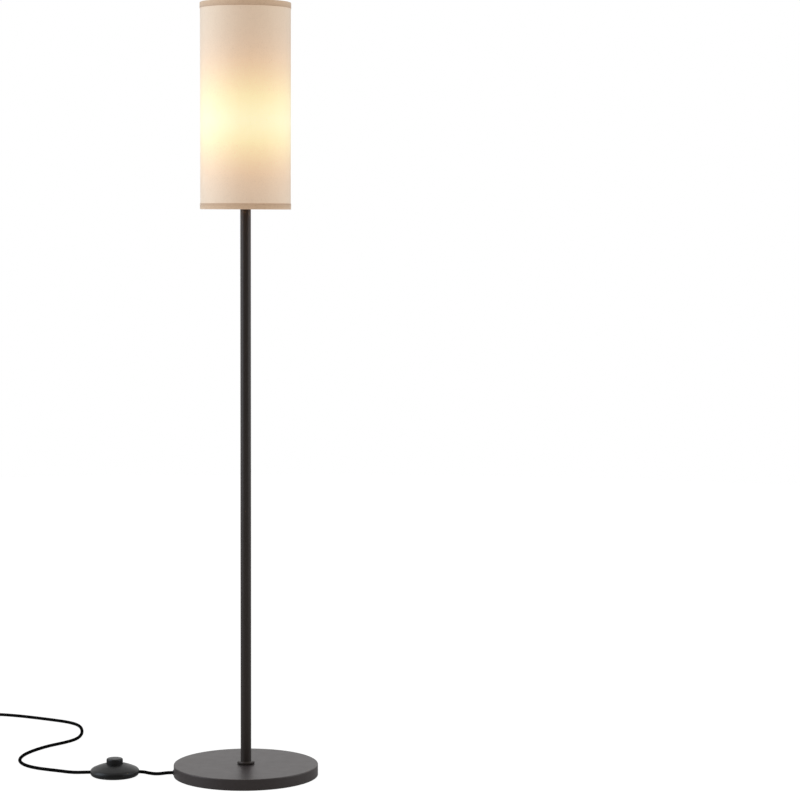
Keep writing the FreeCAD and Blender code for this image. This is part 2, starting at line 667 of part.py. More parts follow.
# Lamp holder
def holder():
    inner = "(cap_dia / 2 - cap_wall)"
    floor = f"({POLE_TOP} + cap_floor)"
    node("socket_cap", turned("holder_cup", [
        (THREAD_HOLE, POLE_TOP), ("cap_dia / 2", POLE_TOP), ("cap_dia / 2", FLANGE_LOW),
        (inner, FLANGE_LOW), (inner, floor), (THREAD_HOLE, floor),
    ]))
    node("socket_rod", tube("holder_rod", "rod_dia / 2", ROD_INSIDE,
                            f"({POLE_TOP} - bush_length + rod_setback)", f"({floor} + rod_setback / 2)"))
    shell_outside = "(shell_bore / 2 + shell_wall)"
    bore = f"({shell_outside} + thread_gap)"
    node("socket_body", turned("holder_body", [
        ("0", SPIGOT_LOW), (f"{inner} - thread_gap", SPIGOT_LOW), (f"{inner} - thread_gap", FLANGE_LOW),
        ("flange_dia / 2", FLANGE_LOW), ("flange_dia / 2", FLANGE_TOP), ("barrel_dia / 2", FLANGE_TOP),
        ("barrel_dia / 2", BARREL_TOP), (bore, BARREL_TOP), (bore, HOLDER_FLOOR), ("0", HOLDER_FLOOR),
    ]))
    shell_low = f"({HOLDER_FLOOR} + contact_thick)"
    shell_top = f"({BARREL_TOP} - contact_rise * 2)"
    node("socket_screw_shell", tube("brass_shell", shell_outside, "shell_bore / 2", shell_low, shell_top))
    lifted = f"({HOLDER_FLOOR} + contact_rise)"
    node("socket_contact", turned("centre_contact", [
        ("0", f"({lifted} - contact_thick)"), ("bulb_tip_dia / 4", f"({lifted} - contact_thick)"),
        ("bulb_tip_dia / 2", HOLDER_FLOOR), ("bulb_tip_dia * 2 / 3", HOLDER_FLOOR),
        ("bulb_tip_dia * 2 / 3", f"({HOLDER_FLOOR} + contact_thick)"),
        ("bulb_tip_dia / 2 + contact_thick", f"({HOLDER_FLOOR} + contact_thick)"),
        ("bulb_tip_dia / 4 + contact_thick", lifted), ("0", lifted),
    ]))
    blocks = []
    for side, y in (("left", "-terminal_gap / 2 - terminal_width"), ("right", "terminal_gap / 2")):
        blocks.append(primitive("Box", "terminal_" + side, "-terminal_width / 2", y, TERMINAL_LOW,
                                Length="terminal_width", Width="terminal_width", Height="terminal_height"))
    group("socket_terminals", blocks)
    ring = tube("ring_nut", "nut_ring_dia / 2", "barrel_dia / 2 + thread_gap", NUT_RING_LOW,
                f"({NUT_RING_LOW} + nut_ring_height)")
    columns(ring, "finger_grooves", "Pocket", "rib_dia / 2", "nut_ring_dia / 2", NUT_RING_LOW,
            "nut_ring_height", "nut_ring_ribs")
    node("shade_ring_nut", ring)


# Bulb
def bulb():
    cap_low = f"({BULB_LOW} + bulb_glass)"
    cap_top = f"({cap_low} + bulb_cap_height)"
    globe = f"({BULB_LOW} + bulb_length - bulb_dia / 2)"
    dome_low = f"({cap_top} + bulb_body_height)"
    dome_reach = f"sqrt((bulb_dia / 2) ^ 2 - ({globe} - {dome_low}) ^ 2)"
    inner_reach = f"sqrt((bulb_dia / 2 - bulb_wall) ^ 2 - ({globe} - {dome_low}) ^ 2)"
    top = f"({BULB_LOW} + bulb_length)"
    node("bulb_contact", turned("bulb_tip_disc", [
        ("0", BULB_LOW), ("bulb_tip_dia / 2", BULB_LOW),
        ("bulb_tip_dia / 2", f"({BULB_LOW} + bulb_tip)"), ("0", f"({BULB_LOW} + bulb_tip)"),
    ]))
    node("bulb_insulator", turned("bulb_glass_cone", [
        ("0", f"({BULB_LOW} + bulb_tip)"), ("bulb_tip_dia / 2", f"({BULB_LOW} + bulb_tip)"),
        ("bulb_cap_dia / 2 - bulb_wall", cap_low), ("0", cap_low),
    ]))
    node("bulb_cap", tube("bulb_cap_shell", "bulb_cap_dia / 2", "bulb_cap_dia / 2 - shell_wall",
                          cap_low, cap_top))
    node("bulb_body", turned("bulb_housing", [
        ("bulb_cap_dia / 2 - bulb_wall", cap_top), ("bulb_neck_dia / 2", cap_top),
        (dome_reach, dome_low), (inner_reach, dome_low),
        ("bulb_neck_dia / 2 - bulb_wall", f"({cap_top} + bulb_wall)"),
        ("bulb_cap_dia / 2 - bulb_wall", f"({cap_top} + bulb_wall)"),
    ]))
    node("bulb_dome", turned("bulb_diffuser", [
        (dome_reach, dome_low, "bulb_dia / 2", -1), ("0", top),
        ("0", f"({top} - bulb_wall)", "bulb_dia / 2 - bulb_wall", 1), (inner_reach, dome_low),
    ]))


# Shade
LINEN_INSIDE = "(shade_dia / 2 - linen_thick)"
LINER_OUTSIDE = f"({LINEN_INSIDE} - glue_gap)"
LINER_INSIDE = f"({LINER_OUTSIDE} - liner_thick)"
WIRE_RADIUS = f"({LINER_INSIDE} - wire_gap - wire_dia / 2)"
EDGE = "(hem_thick + glue_gap)"


def hem(name, edge, up):
    """Bias tape folded over the shade's edge and its wire."""
    sign = "+" if up else "-"
    outer = "(shade_dia / 2 + glue_gap)"
    inner = f"({WIRE_RADIUS} - wire_dia / 2 - wire_gap)"
    fold = f"({edge} {sign} hem_thick)"
    return turned(name, [
        (f"({outer} + hem_thick)", edge), (f"({outer} + hem_thick)", f"({edge} {sign} hem_height)"),
        (outer, f"({edge} {sign} hem_height)"), (outer, fold), (inner, fold),
        (inner, f"({edge} {sign} hem_inside)"), (f"({inner} - hem_thick)", f"({edge} {sign} hem_inside)"),
        (f"({inner} - hem_thick)", edge),
    ])


def shade():
    low = f"({SHADE_LOW} + {EDGE})"
    high = f"({SHADE_TOP} - {EDGE})"
    node("shade_fabric", tube("linen_drum", "shade_dia / 2", LINEN_INSIDE, low, high))
    node("shade_liner", tube("liner_drum", LINER_OUTSIDE, LINER_INSIDE, low, high))
    wire_rise = "hem_thick + wire_gap + wire_dia / 2"
    node("shade_top_wire", primitive("Torus", "top_hoop", z=f"{SHADE_TOP} - {wire_rise.replace('+', '-')}",
                                     Radius1=WIRE_RADIUS, Radius2="wire_dia / 2"))
    wire_low = f"({SHADE_LOW} + {wire_rise})"
    middle = f"({FITTER_LOW} + fitter_ring_thick / 2)"
    ring = tube("fitter_washer", "fitter_ring_dia / 2", "barrel_dia / 2 + running_gap",
                FITTER_LOW, FITTER_TOP)
    hoop = primitive("Torus", "lower_hoop", z=wire_low, Radius1=WIRE_RADIUS, Radius2="wire_dia / 2")
    pieces = [ring, hoop]
    count = round(value("arm_count"))
    start = value("fitter_ring_dia / 2 - arm_dia / 2")
    bend = value("fitter_ring_dia / 2 + arm_dia * 2")
    for index in range(count):
        turn = 2 * math.pi * index / count
        route = [(start, value(middle)), (bend, value(middle)), (value(WIRE_RADIUS), value(wire_low))]
        points = [vector(away * math.cos(turn), away * math.sin(turn), height) for away, height in route]
        pieces.append(bar(f"fitter_arm_{index + 1}", points, value("arm_dia")))
    node("shade_fitter", fused("fitter", pieces))

    node("shade_hem_top", hem("upper_hem", SHADE_TOP, False))
    lower = hem("lower_hem", SHADE_LOW, True)
    inner = f"({WIRE_RADIUS} - wire_dia / 2 - wire_gap)"
    inmost = f"({inner} - hem_thick * 2)"
    slot_low = f"({SHADE_LOW} + hem_thick)"
    slot_top = f"({SHADE_LOW} + hem_height)"
    sketch = outline(lower, "arm_slot_outline", [
        (inmost, slot_low), (inner, slot_low), (inner, slot_top), (inmost, slot_top),
    ])
    before = lower.Tip.Shape.Volume
    slot = lower.newObject("PartDesign::Pocket", "arm_slot_cut")
    slot.Profile = sketch
    slot.Midplane = True
    slot.setExpression("Length", bound("arm_slot"))
    doc.recompute()
    pattern = lower.newObject("PartDesign::PolarPattern", "arm_slots")
    pattern.Originals = [slot]
    pattern.Axis = (plane(lower, "Z_Axis"), [""])
    pattern.Angle = 360
    pattern.setExpression("Occurrences", bound("arm_count"))
    lower.Tip = pattern
    doc.recompute()
    if lower.Tip.Shape.Volume >= before:
        raise ValueError("the hem has no slots for the arms")
    node("shade_hem_bottom", lower)


# Foot switch, modelled about its own axis
def foot_switch():
    away = "-switch_place"
    rim = "switch_dia / 2"
    floor = "(switch_pad_thick + switch_wall)"
    cover_low = "(switch_rim + switch_seam)"
    bore = "(button_dia / 2 + running_gap)"
    post_hole = "(post_screw_dia / 2 + thread_gap)"
    lead_hole = f"({CORD} + running_gap / 2)"
    bush_outside = "(bush_dia / 2)"
    bush_start = f"({rim} - bush_setback)"

    def lead_way(name):
        """The passage for the lead and its two bushes, right through the housing."""
        passage = rod_along_x(name + "_lead_way", lead_hole, f"-{rim}", f"2 * {rim}", "switch_rim")
        seat = rod_along_x(name + "_bush_way", f"{bush_outside} + thread_gap", f"-{bush_start}",
                           f"2 * {bush_start}", "switch_rim")
        return [passage, seat]

    bowl = turned("switch_bowl", [
        ("0", "switch_pad_thick"), ("switch_foot / 2", "switch_pad_thick", "bowl_arc", -1),
        (rim, "switch_rim"), (f"{rim} - switch_wall", "switch_rim", "bowl_arc - switch_wall", 1),
        ("switch_foot / 2", floor), ("0", floor),
    ])
    columns(bowl, "screw_seats", "Pocket", "post_head_dia / 2 + running_gap", "post_circle",
            "switch_pad_thick", "switch_wall / 2", "post_count", "y")
    columns(bowl, "screw_passages", "Pocket", "post_screw_dia / 2 + running_gap", "post_circle",
            "switch_pad_thick", "switch_wall", "post_count", "y")
    node("switch_base", place(cut("switch_lower_half", bowl, *lead_way("bowl")), away))

    def crown(depth):
        """Where rounding and crown meet at a depth below the surface, and the crown's radius."""
        meet = f"({rim} - rim_round + (rim_round - {depth}) * cos(rim_angle))"
        level = f"({cover_low} + (rim_round - {depth}) * sin(rim_angle))"
        run = f"({meet} - {bore})"
        rise = f"(switch_height - {depth} - {level})"
        lean = f"({run} * cos(rim_angle) - {rise} * sin(rim_angle))"
        return meet, level, f"(({run} ^ 2 + {rise} ^ 2) / (2 * {lean}))"

    meet, level, outer_crown = crown("0")
    inner_meet, inner_level, inner_crown = crown("switch_wall")
    dome = turned("switch_dome", [
        (rim, cover_low, "rim_round", -1), (meet, level, outer_crown, -1), (bore, "switch_height"),
        (bore, "switch_height - switch_wall", inner_crown, 1),
        (inner_meet, inner_level, "rim_round - switch_wall", 1), (f"{rim} - switch_wall", cover_low),
    ])
    post_low = f"({floor} + running_gap)"
    slope = f"(switch_height - {level}) / ({meet} - {bore})"
    post_top = f"({level} + ({meet} - post_circle - post_dia / 4) * {slope})"
    columns(dome, "posts", "Pad", "post_dia / 2", "post_circle", post_low, f"{post_top} - {post_low}",
            "post_count", "y")
    columns(dome, "post_threads", "Pocket", post_hole, "post_circle", post_low, "post_screw_length",
            "post_count", "y")
    node("switch_cover", place(cut("switch_upper_half", dome, *lead_way("dome")), away))

    lip_top = "(switch_height - switch_wall - lip_drop)"
    lip_low = f"({lip_top} - button_lip)"
    inside = "(button_dia / 2 - button_wall)"
    under = "(button_top - button_wall)"
    block_top = f"({floor} + block_height)"
    stem_low = f"({block_top} + button_travel + running_gap)"
    cap = turned("foot_button", [
        ("0", "button_top"), ("button_dia / 2", "button_top"), ("button_dia / 2", lip_top),
        ("button_dia / 2 + button_lip", lip_top), ("button_dia / 2 + button_lip", lip_low),
        (inside, lip_low), (inside, under), ("stem_dia / 2", under),
        ("stem_dia / 2", stem_low), ("0", stem_low),
    ])
    rounded(cap, "button_round", ("button_dia / 2", "button_top"))
    node("switch_button", place(cap, away))

    block = primitive("Box", "switching_block", f"{away} - block_long / 2", "-block_wide / 2", floor,
                      Length="block_long", Width="block_wide", Height="block_height")
    node("switch_block", block)
    terminals = []
    leads = []
    bushes = []
    terminal = "(block_height / 2)"
    for sign, side in ((1, "right"), (-1, "left")):
        face = f"{away} + {sign} * (block_long / 2 - {terminal} / 2) - {terminal} / 2"
        terminals.append(primitive("Box", f"switch_terminal_{side}", face, "-terminal_width / 2", block_top,
                                   Length=terminal, Width="terminal_width", Height=terminal))
        start = "block_long / 2" if sign > 0 else f"-{bush_start}"
        leads.append(rod_along_x(f"switch_lead_{side}", CORD, f"{away} + {start}",
                                 f"{bush_start} - block_long / 2", "switch_rim"))
        seat = f"{bush_start} - bush_depth" if sign > 0 else f"-{bush_start}"
        sleeve = tube(f"lead_bush_{side}", bush_outside, f"{CORD} + thread_gap", "0", "bush_depth")
        bushes.append(place(sleeve, f"{away} + {seat}", z="switch_rim", axis=(0, 1, 0), angle=90))
    group("switch_terminals", terminals)
    group("switch_leads", leads)
    group("switch_bushes", bushes)

    feet = []
    for index, (x, y) in enumerate(spread(round(value("switch_pad_count")), "switch_pad_circle", 30), 1):
        feet.append(primitive("Cylinder", f"rubber_foot_{index}", f"{away} + {x}", y,
                              Radius="switch_pad_dia / 2", Height="switch_pad_thick"))
    group("switch_feet", feet)
    screws = []
    for index, (x, y) in enumerate(spread(round(value("post_count")), "post_circle", 90), 1):
        one = screw(f"post_screw_{index}", "post_head_dia", "post_screw_dia",
                    "(switch_pad_thick + switch_wall / 2 - post_head)", "post_head",
                    f"({post_low} + post_screw_length - running_gap)")
        screws.append(place(one, f"{away} + {x}", y))
    group("switch_screws", screws)

    turns = round(value("spring_turns"))
    wire = value("spring_wire")
    low = value(block_top) + wire / 2
    high = value(under) - wire / 2
    mean = value("spring_dia") / 2

    def spring_spot(turn):
        angle = 2 * math.pi * turn
        return vector(mean * math.cos(angle), mean * math.sin(angle), low + (high - low) * turn / turns)

    spring = shaped("return_spring", swept(wound_path(spring_spot, turns, "spring", wire), wire / 2))
    node("switch_spring", place(spring, away))


# Mains lead: two free stretches, the put-away coil with its tie, and the plug
def lead():
    diameter = value("cord_dia")
    on_floor = value(FLOOR_LEVEL)
    switch_level = value("switch_rim")
    exit_x = value(EXIT_X)
    exit_level = value(LEAD_LEVEL)
    centre_x = value("coil_x")
    centre_y = value("coil_y")
    pitch = value("coil_pitch")
    outermost = value("coil_radius")
    switch_face = value("switch_dia / 2 - bush_setback")
    right_end = -value("switch_place") + switch_face
    left_end = -value("switch_place") - switch_face

    node("cord_base_to_switch", bar("lead_to_switch", [
        vector(exit_x, 0, exit_level),
        vector(-163, 0, exit_level),
        vector(-175, 1.2, 4.4),
        vector(-188, 2, on_floor),
        vector(-201, 1.4, 5.6),
        vector(-214, 0, switch_level),
        vector(right_end, 0, switch_level),
    ], diameter))

    coil_level = value("strap_thick + strap_slack + cord_dia / 2")
    upper_level = coil_level + pitch
    layer_turns = value("coil_layer_turns")
    climb = value("coil_climb")
    turns = 2 * layer_turns
    reversal = layer_turns + climb / 2

    def coil_spot(turn):
        """Spirals in on the floor, climbs a layer where it reverses, and spirals out on top."""
        radius = outermost - pitch * min(turn, 2 * reversal - turn)
        angle = -math.pi / 2 - 2 * math.pi * turn
        share = min(max((turn - layer_turns) / climb, 0), 1)
        height = coil_level + pitch * share * share * (3 - 2 * share)
        return vector(centre_x + radius * math.cos(angle), centre_y + radius * math.sin(angle), height)

    coil_wire = wound_path(coil_spot, turns, "coil", diameter, diameter)
    coil_shape = swept(coil_wire, diameter / 2)
    print("coil length, mm:", round(coil_wire.Length), "volume share:",
          round(coil_shape.Volume / (math.pi * diameter ** 2 / 4 * coil_wire.Length), 4))
    node("cord_coil", shaped("put_away_coil", coil_shape))
    first, last = coil_wire.Edges[0], coil_wire.Edges[-1]
    entry = first.valueAt(first.FirstParameter)
    entry_way = first.tangentAt(first.FirstParameter)
    leave = last.valueAt(last.LastParameter)
    leave_way = last.tangentAt(last.LastParameter)

    node("cord_switch_to_coil", bar("lead_to_coil", [
        vector(left_end, 0, switch_level),
        vector(-333, 0, switch_level),
        vector(-350, 9, 6.6),
        vector(-368, 25, 4),
        vector(-389, 39.5, on_floor),
        vector(-412, 51.5, on_floor),
        vector(-443.5, 71, on_floor),
        vector(-468, 100, on_floor),
        vector(-481, 137, on_floor),
        vector(-481.5, 175, on_floor),
        vector(-472.5, 214, on_floor),
        vector(-453, 255, on_floor),
        vector(-428, 292, on_floor),
        vector(-397, 323, on_floor),
        vector(-374, 358, on_floor),
        vector(-366, 406, on_floor),
        vector(-369, 463, on_floor),
        vector(-379.5, 510, on_floor),
        vector(-403, 543, on_floor),
        vector(-437, 568, on_floor),
        vector(-479, 595, on_floor),
        vector(-523.5, 621.5, on_floor),
        vector(-565, 638.5, on_floor),
        vector(-600, 644.5, on_floor + 0.6),
        entry - entry_way * (diameter * 1.5),
        entry,
    ], diameter))
    plug_x = centre_x - outermost - value("plug_aside")
    plug_start = centre_y + value("plug_ahead")
    plug_level = value("cord_lift + plug_height / 2")
    node("cord_tail", bar("lead_to_plug", [
        leave,
        leave + leave_way * (diameter * 1.8),
        vector(centre_x - 37, centre_y - 44.6, upper_level - 3.2),
        vector(centre_x - 54, centre_y - 40.5, 5.4),
        vector(centre_x - 69, centre_y - 30, on_floor),
        vector(centre_x - 80, centre_y - 15, on_floor + 0.3),
        vector(plug_x - 0.6, centre_y + 3, 5.4),
        vector(plug_x, centre_y + 18, plug_level),
        vector(plug_x, plug_start, plug_level),
    ], diameter))

    strap = value("strap_thick")
    width = value("strap_width")
    slack = value("strap_slack")
    low = coil_level - diameter / 2 - slack
    high = upper_level + diameter / 2 + slack
    outer_turn = 0.25
    inner_turn = layer_turns - outer_turn
    innermost = outermost - pitch * inner_turn - diameter / 2
    near = math.sqrt(innermost ** 2 - width ** 2 / 4) - slack * 2
    far = outermost - pitch * outer_turn + diameter / 2 + slack
    outside = Part.makeBox(far - near + 2 * strap, width, high - low + 2 * strap,
                           vector(centre_x - far - strap, centre_y - width / 2, low - strap))
    window = Part.makeBox(far - near, width, high - low, vector(centre_x - far, centre_y - width / 2, low))
    node("coil_tie", shaped("coil_strap", outside.cut(window)))

    body = doc.addObject("PartDesign::Body", "plug_shell")
    half = "plug_width / 2"
    sketch = outline(body, "plug_section", [
        (f"-{half}", "cord_lift"), (half, "cord_lift"),
        (half, "cord_lift + plug_height"), (f"-{half}", "cord_lift + plug_height"),
    ])
    pad = body.newObject("PartDesign::Pad", "plug_block")
    pad.Profile = sketch
    pad.Reversed = True
    pad.setExpression("Length", "Sizes.plug_length")
    doc.recompute()
    names = []
    for index, edge in enumerate(pad.Shape.Edges, 1):
        along = edge.tangentAt(edge.FirstParameter)
        if abs(along.y) > 0.9:
            names.append("Edge" + str(index))
    fillet = body.newObject("PartDesign::Fillet", "plug_edges")
    fillet.Base = (pad, names)
    fillet.setExpression("Radius", "Sizes.plug_round")
    node("plug_body", place(body))
    relief_end = plug_start + value("relief_length")
    body.Placement.Base = vector(plug_x, relief_end, 0)

    ribs = round(value("relief_ribs"))
    step = value("relief_length") / ribs
    groove = value("relief_groove")
    rib = value("relief_rib_share")
    wide, narrow = value("relief_big") / 2, value("relief_small") / 2
    bore = value(CORD) + value("thread_gap")
    profile = [vector(bore, 0, 0)]
    for index in range(ribs):
        for share, depth in ((0, 0), (rib, 0), (rib, groove), (1, groove)):
            place_on = (index + share) * step
            radius = narrow + (wide - narrow) * place_on / (ribs * step) - depth
            profile.append(vector(radius, 0, place_on))
    profile[-2:] = [vector(wide, 0, ribs * step)]
    profile.append(vector(bore, 0, ribs * step))
    profile.append(profile[0])
    sleeve = Part.Face(Part.makePolygon(profile)).revolve(vector(0, 0, 0), vector(0, 0, 1), 360)
    relief = node("plug_relief", shaped("plug_sleeve", sleeve))
    relief.Placement = FreeCAD.Placement(
        vector(plug_x, plug_start, plug_level), FreeCAD.Rotation(vector(1, 0, 0), -90))

    front = relief_end + value("plug_length")
    thick, high, reach = value("blade_thick"), value("blade_width"), value("blade_length")
    hole_y = front + reach - value("blade_hole_end")
    hole_radius = value("blade_hole_dia") / 2
    blades = []
    for side in (-1, 1):
        x = plug_x + side * value("blade_pitch") / 2 - thick / 2
        blade = Part.makeBox(thick, reach, high, vector(x, front, plug_level - high / 2))
        hole = Part.makeCylinder(hole_radius, thick, vector(x, hole_y, plug_level), vector(1, 0, 0))
        blades.append(shaped("blade_" + ("left" if side < 0 else "right"), blade.cut(hole)))
    group("plug_blades", blades)


foot()
pole()
holder()
bulb()
shade()
foot_switch()
lead()
doc.recompute()
for piece in doc.Objects:
    if "Invalid" in piece.State or "Error" in piece.State:
        raise ValueError(piece.Name + " failed")
os.makedirs("parts", exist_ok=True)
for name, piece in nodes.items():
    if piece.Shape.isNull() or not piece.Shape.isValid():
        raise ValueError(name + " has no valid shape")
for name, piece in nodes.items():
    piece.Shape.exportStep("parts/" + name + ".step")
print(len(nodes), "nodes")
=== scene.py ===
import math

import bmesh
import bpy
import numpy as np
from mathutils import Matrix, Vector


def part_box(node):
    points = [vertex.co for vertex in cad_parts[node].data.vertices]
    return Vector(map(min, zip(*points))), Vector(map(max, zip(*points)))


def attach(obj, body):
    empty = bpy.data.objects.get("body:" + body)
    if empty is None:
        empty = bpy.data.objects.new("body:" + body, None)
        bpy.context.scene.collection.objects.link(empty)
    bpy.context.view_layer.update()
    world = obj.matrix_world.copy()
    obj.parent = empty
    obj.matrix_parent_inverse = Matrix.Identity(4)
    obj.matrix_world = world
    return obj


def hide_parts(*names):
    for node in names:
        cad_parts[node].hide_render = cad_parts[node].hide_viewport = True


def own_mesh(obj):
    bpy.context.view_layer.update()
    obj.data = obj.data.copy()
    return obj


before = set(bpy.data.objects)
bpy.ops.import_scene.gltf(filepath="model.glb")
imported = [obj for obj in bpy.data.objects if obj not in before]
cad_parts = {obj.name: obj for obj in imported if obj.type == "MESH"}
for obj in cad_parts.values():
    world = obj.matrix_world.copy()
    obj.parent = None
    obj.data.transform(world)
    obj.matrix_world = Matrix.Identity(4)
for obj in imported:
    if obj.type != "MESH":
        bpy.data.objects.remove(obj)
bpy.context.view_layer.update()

# Column floor lamp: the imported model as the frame, dressed with finished surfaces. Metres, +Z up, lead
# towards -X. Profiles are written in millimetres and brought to metres when their mesh is made.

scene = bpy.context.scene
scene.view_settings.view_transform = "Standard"
mm = 0.001


def nodeSize(node):
    # radius, lowest and highest level and centre of a CAD node, in millimetres
    low, high = (np.array(corner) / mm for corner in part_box(node))
    return {
        "radius": (high[0] - low[0]) / 2,
        "low": low[2],
        "high": high[2],
        "x": (low[0] + high[0]) / 2,
        "y": (low[1] + high[1]) / 2,
    }


# Camera
cameraPlace = {
    "location": (0.0, -5.19, 1.1708),
    "right": 3.512,  # degrees that it looks to the right of +Y
    "down": 4.264,   # degrees below the horizon
    "roll": 0.222,   # degrees
    "lens": 113.45,  # millimetres
    "sensor": 36,
}

cameraData = bpy.data.cameras.new("camera")
cameraData.lens = cameraPlace["lens"]
cameraData.sensor_width = cameraPlace["sensor"]
camera = bpy.data.objects.new("camera", cameraData)
scene.collection.objects.link(camera)
camera.matrix_world = (
    Matrix.Translation(cameraPlace["location"])
    @ Matrix.Rotation(-math.radians(cameraPlace["right"]), 4, "Z")
    @ Matrix.Rotation(math.pi / 2 - math.radians(cameraPlace["down"]), 4, "X")
    @ Matrix.Rotation(math.radians(cameraPlace["roll"]), 4, "Z")
)
scene.camera = camera
print("camera placed")


# Lead: two free stretches with the foot switch between them, then the put-away coil and the plug
lead = {
    "diameter": 0.007,
    "floor": 0.0036,         # centre line where it lies on the floor
    "switchLevel": 0.009,
    "toSwitchLength": 0.078,
    "toPlugLength": 2.246,
    "steps": 10,             # from one control point to the next
    "roundness": 6,          # steps of its section
}
coil = {
    "centre": (-0.636, 0.696),
    "outermost": 0.0488,
    "pitch": 0.0076,         # turn to turn, and layer to layer
    "level": 0.00475,        # centre line of the lower layer
    "layerTurns": 2.5,       # turns in the lower layer, and again in the upper
    "climb": 0.5,            # share of a turn in which it climbs
    "pointsPerTurn": 24,
    "straightEnd": 0.007,    # from the winding to a control point at each end
    "leadIn": 0.0105,        # straight stretch before that
    "leadOut": 0.0126,       # and the one after it
}
floorLevel = lead["floor"]
switchLevel = lead["switchLevel"]
toSwitch = [
    (-0.150, 0, 0.0064), (-0.163, 0, 0.0064), (-0.175, 0.0012, 0.0044), (-0.188, 0.002, floorLevel),
    (-0.201, 0.0014, 0.0056), (-0.214, 0, switchLevel), (-0.227, 0, switchLevel),
]
toCoil = [
    (-0.317, 0, switchLevel), (-0.333, 0, switchLevel), (-0.350, 0.009, 0.0066), (-0.368, 0.025, 0.004),
    (-0.389, 0.0395, floorLevel), (-0.412, 0.0515, floorLevel), (-0.4435, 0.071, floorLevel),
    (-0.468, 0.100, floorLevel), (-0.481, 0.137, floorLevel), (-0.4815, 0.175, floorLevel),
    (-0.4725, 0.214, floorLevel), (-0.453, 0.255, floorLevel), (-0.428, 0.292, floorLevel),
    (-0.397, 0.323, floorLevel), (-0.374, 0.358, floorLevel), (-0.366, 0.406, floorLevel),
    (-0.369, 0.463, floorLevel), (-0.3795, 0.510, floorLevel), (-0.403, 0.543, floorLevel),
    (-0.437, 0.568, floorLevel), (-0.479, 0.595, floorLevel), (-0.5235, 0.6215, floorLevel),
    (-0.565, 0.6385, floorLevel), (-0.600, 0.6445, 0.0042),
]


def coilPoints():
    # spirals in on the floor, climbs a layer where it reverses and spirals out on top, clockwise from above
    reversal = coil["layerTurns"] + coil["climb"] / 2
    turns = 2 * coil["layerTurns"]
    turn = np.linspace(0, turns, round(turns * coil["pointsPerTurn"]) + 1)
    radius = coil["outermost"] - coil["pitch"] * np.minimum(turn, 2 * reversal - turn)
    angle = -math.pi / 2 - 2 * math.pi * turn
    share = np.clip((turn - coil["layerTurns"]) / coil["climb"], 0, 1)
    level = coil["level"] + coil["pitch"] * share ** 2 * (3 - 2 * share)
    x, y = coil["centre"]
    return np.stack([x + radius * np.cos(angle), y + radius * np.sin(angle), level], axis=1)


coilRoute = coilPoints()
coilStart = coilRoute[0] + (coil["straightEnd"], 0, 0)
coilEnd = coilRoute[-1] - (coil["straightEnd"], 0, 0)
toPlug = [
    (-0.673, 0.6514, 0.00915), (-0.690, 0.6555, 0.0054), (-0.705, 0.666, floorLevel), (-0.716, 0.681, 0.0039),
    (-0.7224, 0.699, 0.0054), (-0.7218, 0.714, 0.0071), (-0.7218, 0.726, 0.0071),
]


def leadCurve(name, points):
    # a round curve along control points, smooth between them
    data = bpy.data.curves.new(name, "CURVE")
    data.dimensions = "3D"
    data.resolution_u = lead["steps"]
    data.bevel_depth = lead["diameter"] / 2
    data.bevel_resolution = lead["roundness"]
    data.use_fill_caps = True
    spline = data.splines.new("NURBS")
    spline.points.add(len(points) - 1)
    spots = np.ones((len(points), 4))
    spots[:, :3] = points
    spline.points.foreach_set("co", spots.ravel())
    spline.order_u = 3
    spline.use_endpoint_u = True
    curve = bpy.data.objects.new(name, data)
    scene.collection.objects.link(curve)
    return curve


leadToSwitch = leadCurve("lead_to_switch", toSwitch)
leadToPlug = leadCurve("lead_to_plug", [
    *toCoil, coilStart + (coil["leadIn"], 0, 0), coilStart,
    *coilRoute, coilEnd, coilEnd - (coil["leadOut"], 0, 0), *toPlug,
])
print("lead laid")


# Finishes
class Value:
    # a socket in a finish; an expression on values adds the Math nodes that work it out
    def __init__(self, finish, socket):
        self.finish = finish
        self.socket = socket

    def work(self, operation, first, second):
        return self.finish.add("ShaderNodeMath", {"operation": operation}, {0: first, 1: second})

    def __add__(self, other):
        return self.work("ADD", self, other)

    __radd__ = __add__

    def __sub__(self, other):
        return self.work("SUBTRACT", self, other)

    def __rsub__(self, other):
        return self.work("SUBTRACT", other, self)

    def __mul__(self, other):
        return self.work("MULTIPLY", self, other)

    __rmul__ = __mul__

    def __truediv__(self, other):
        return self.work("DIVIDE", self, other)

    def __pow__(self, other):
        return self.work("POWER", self, other)


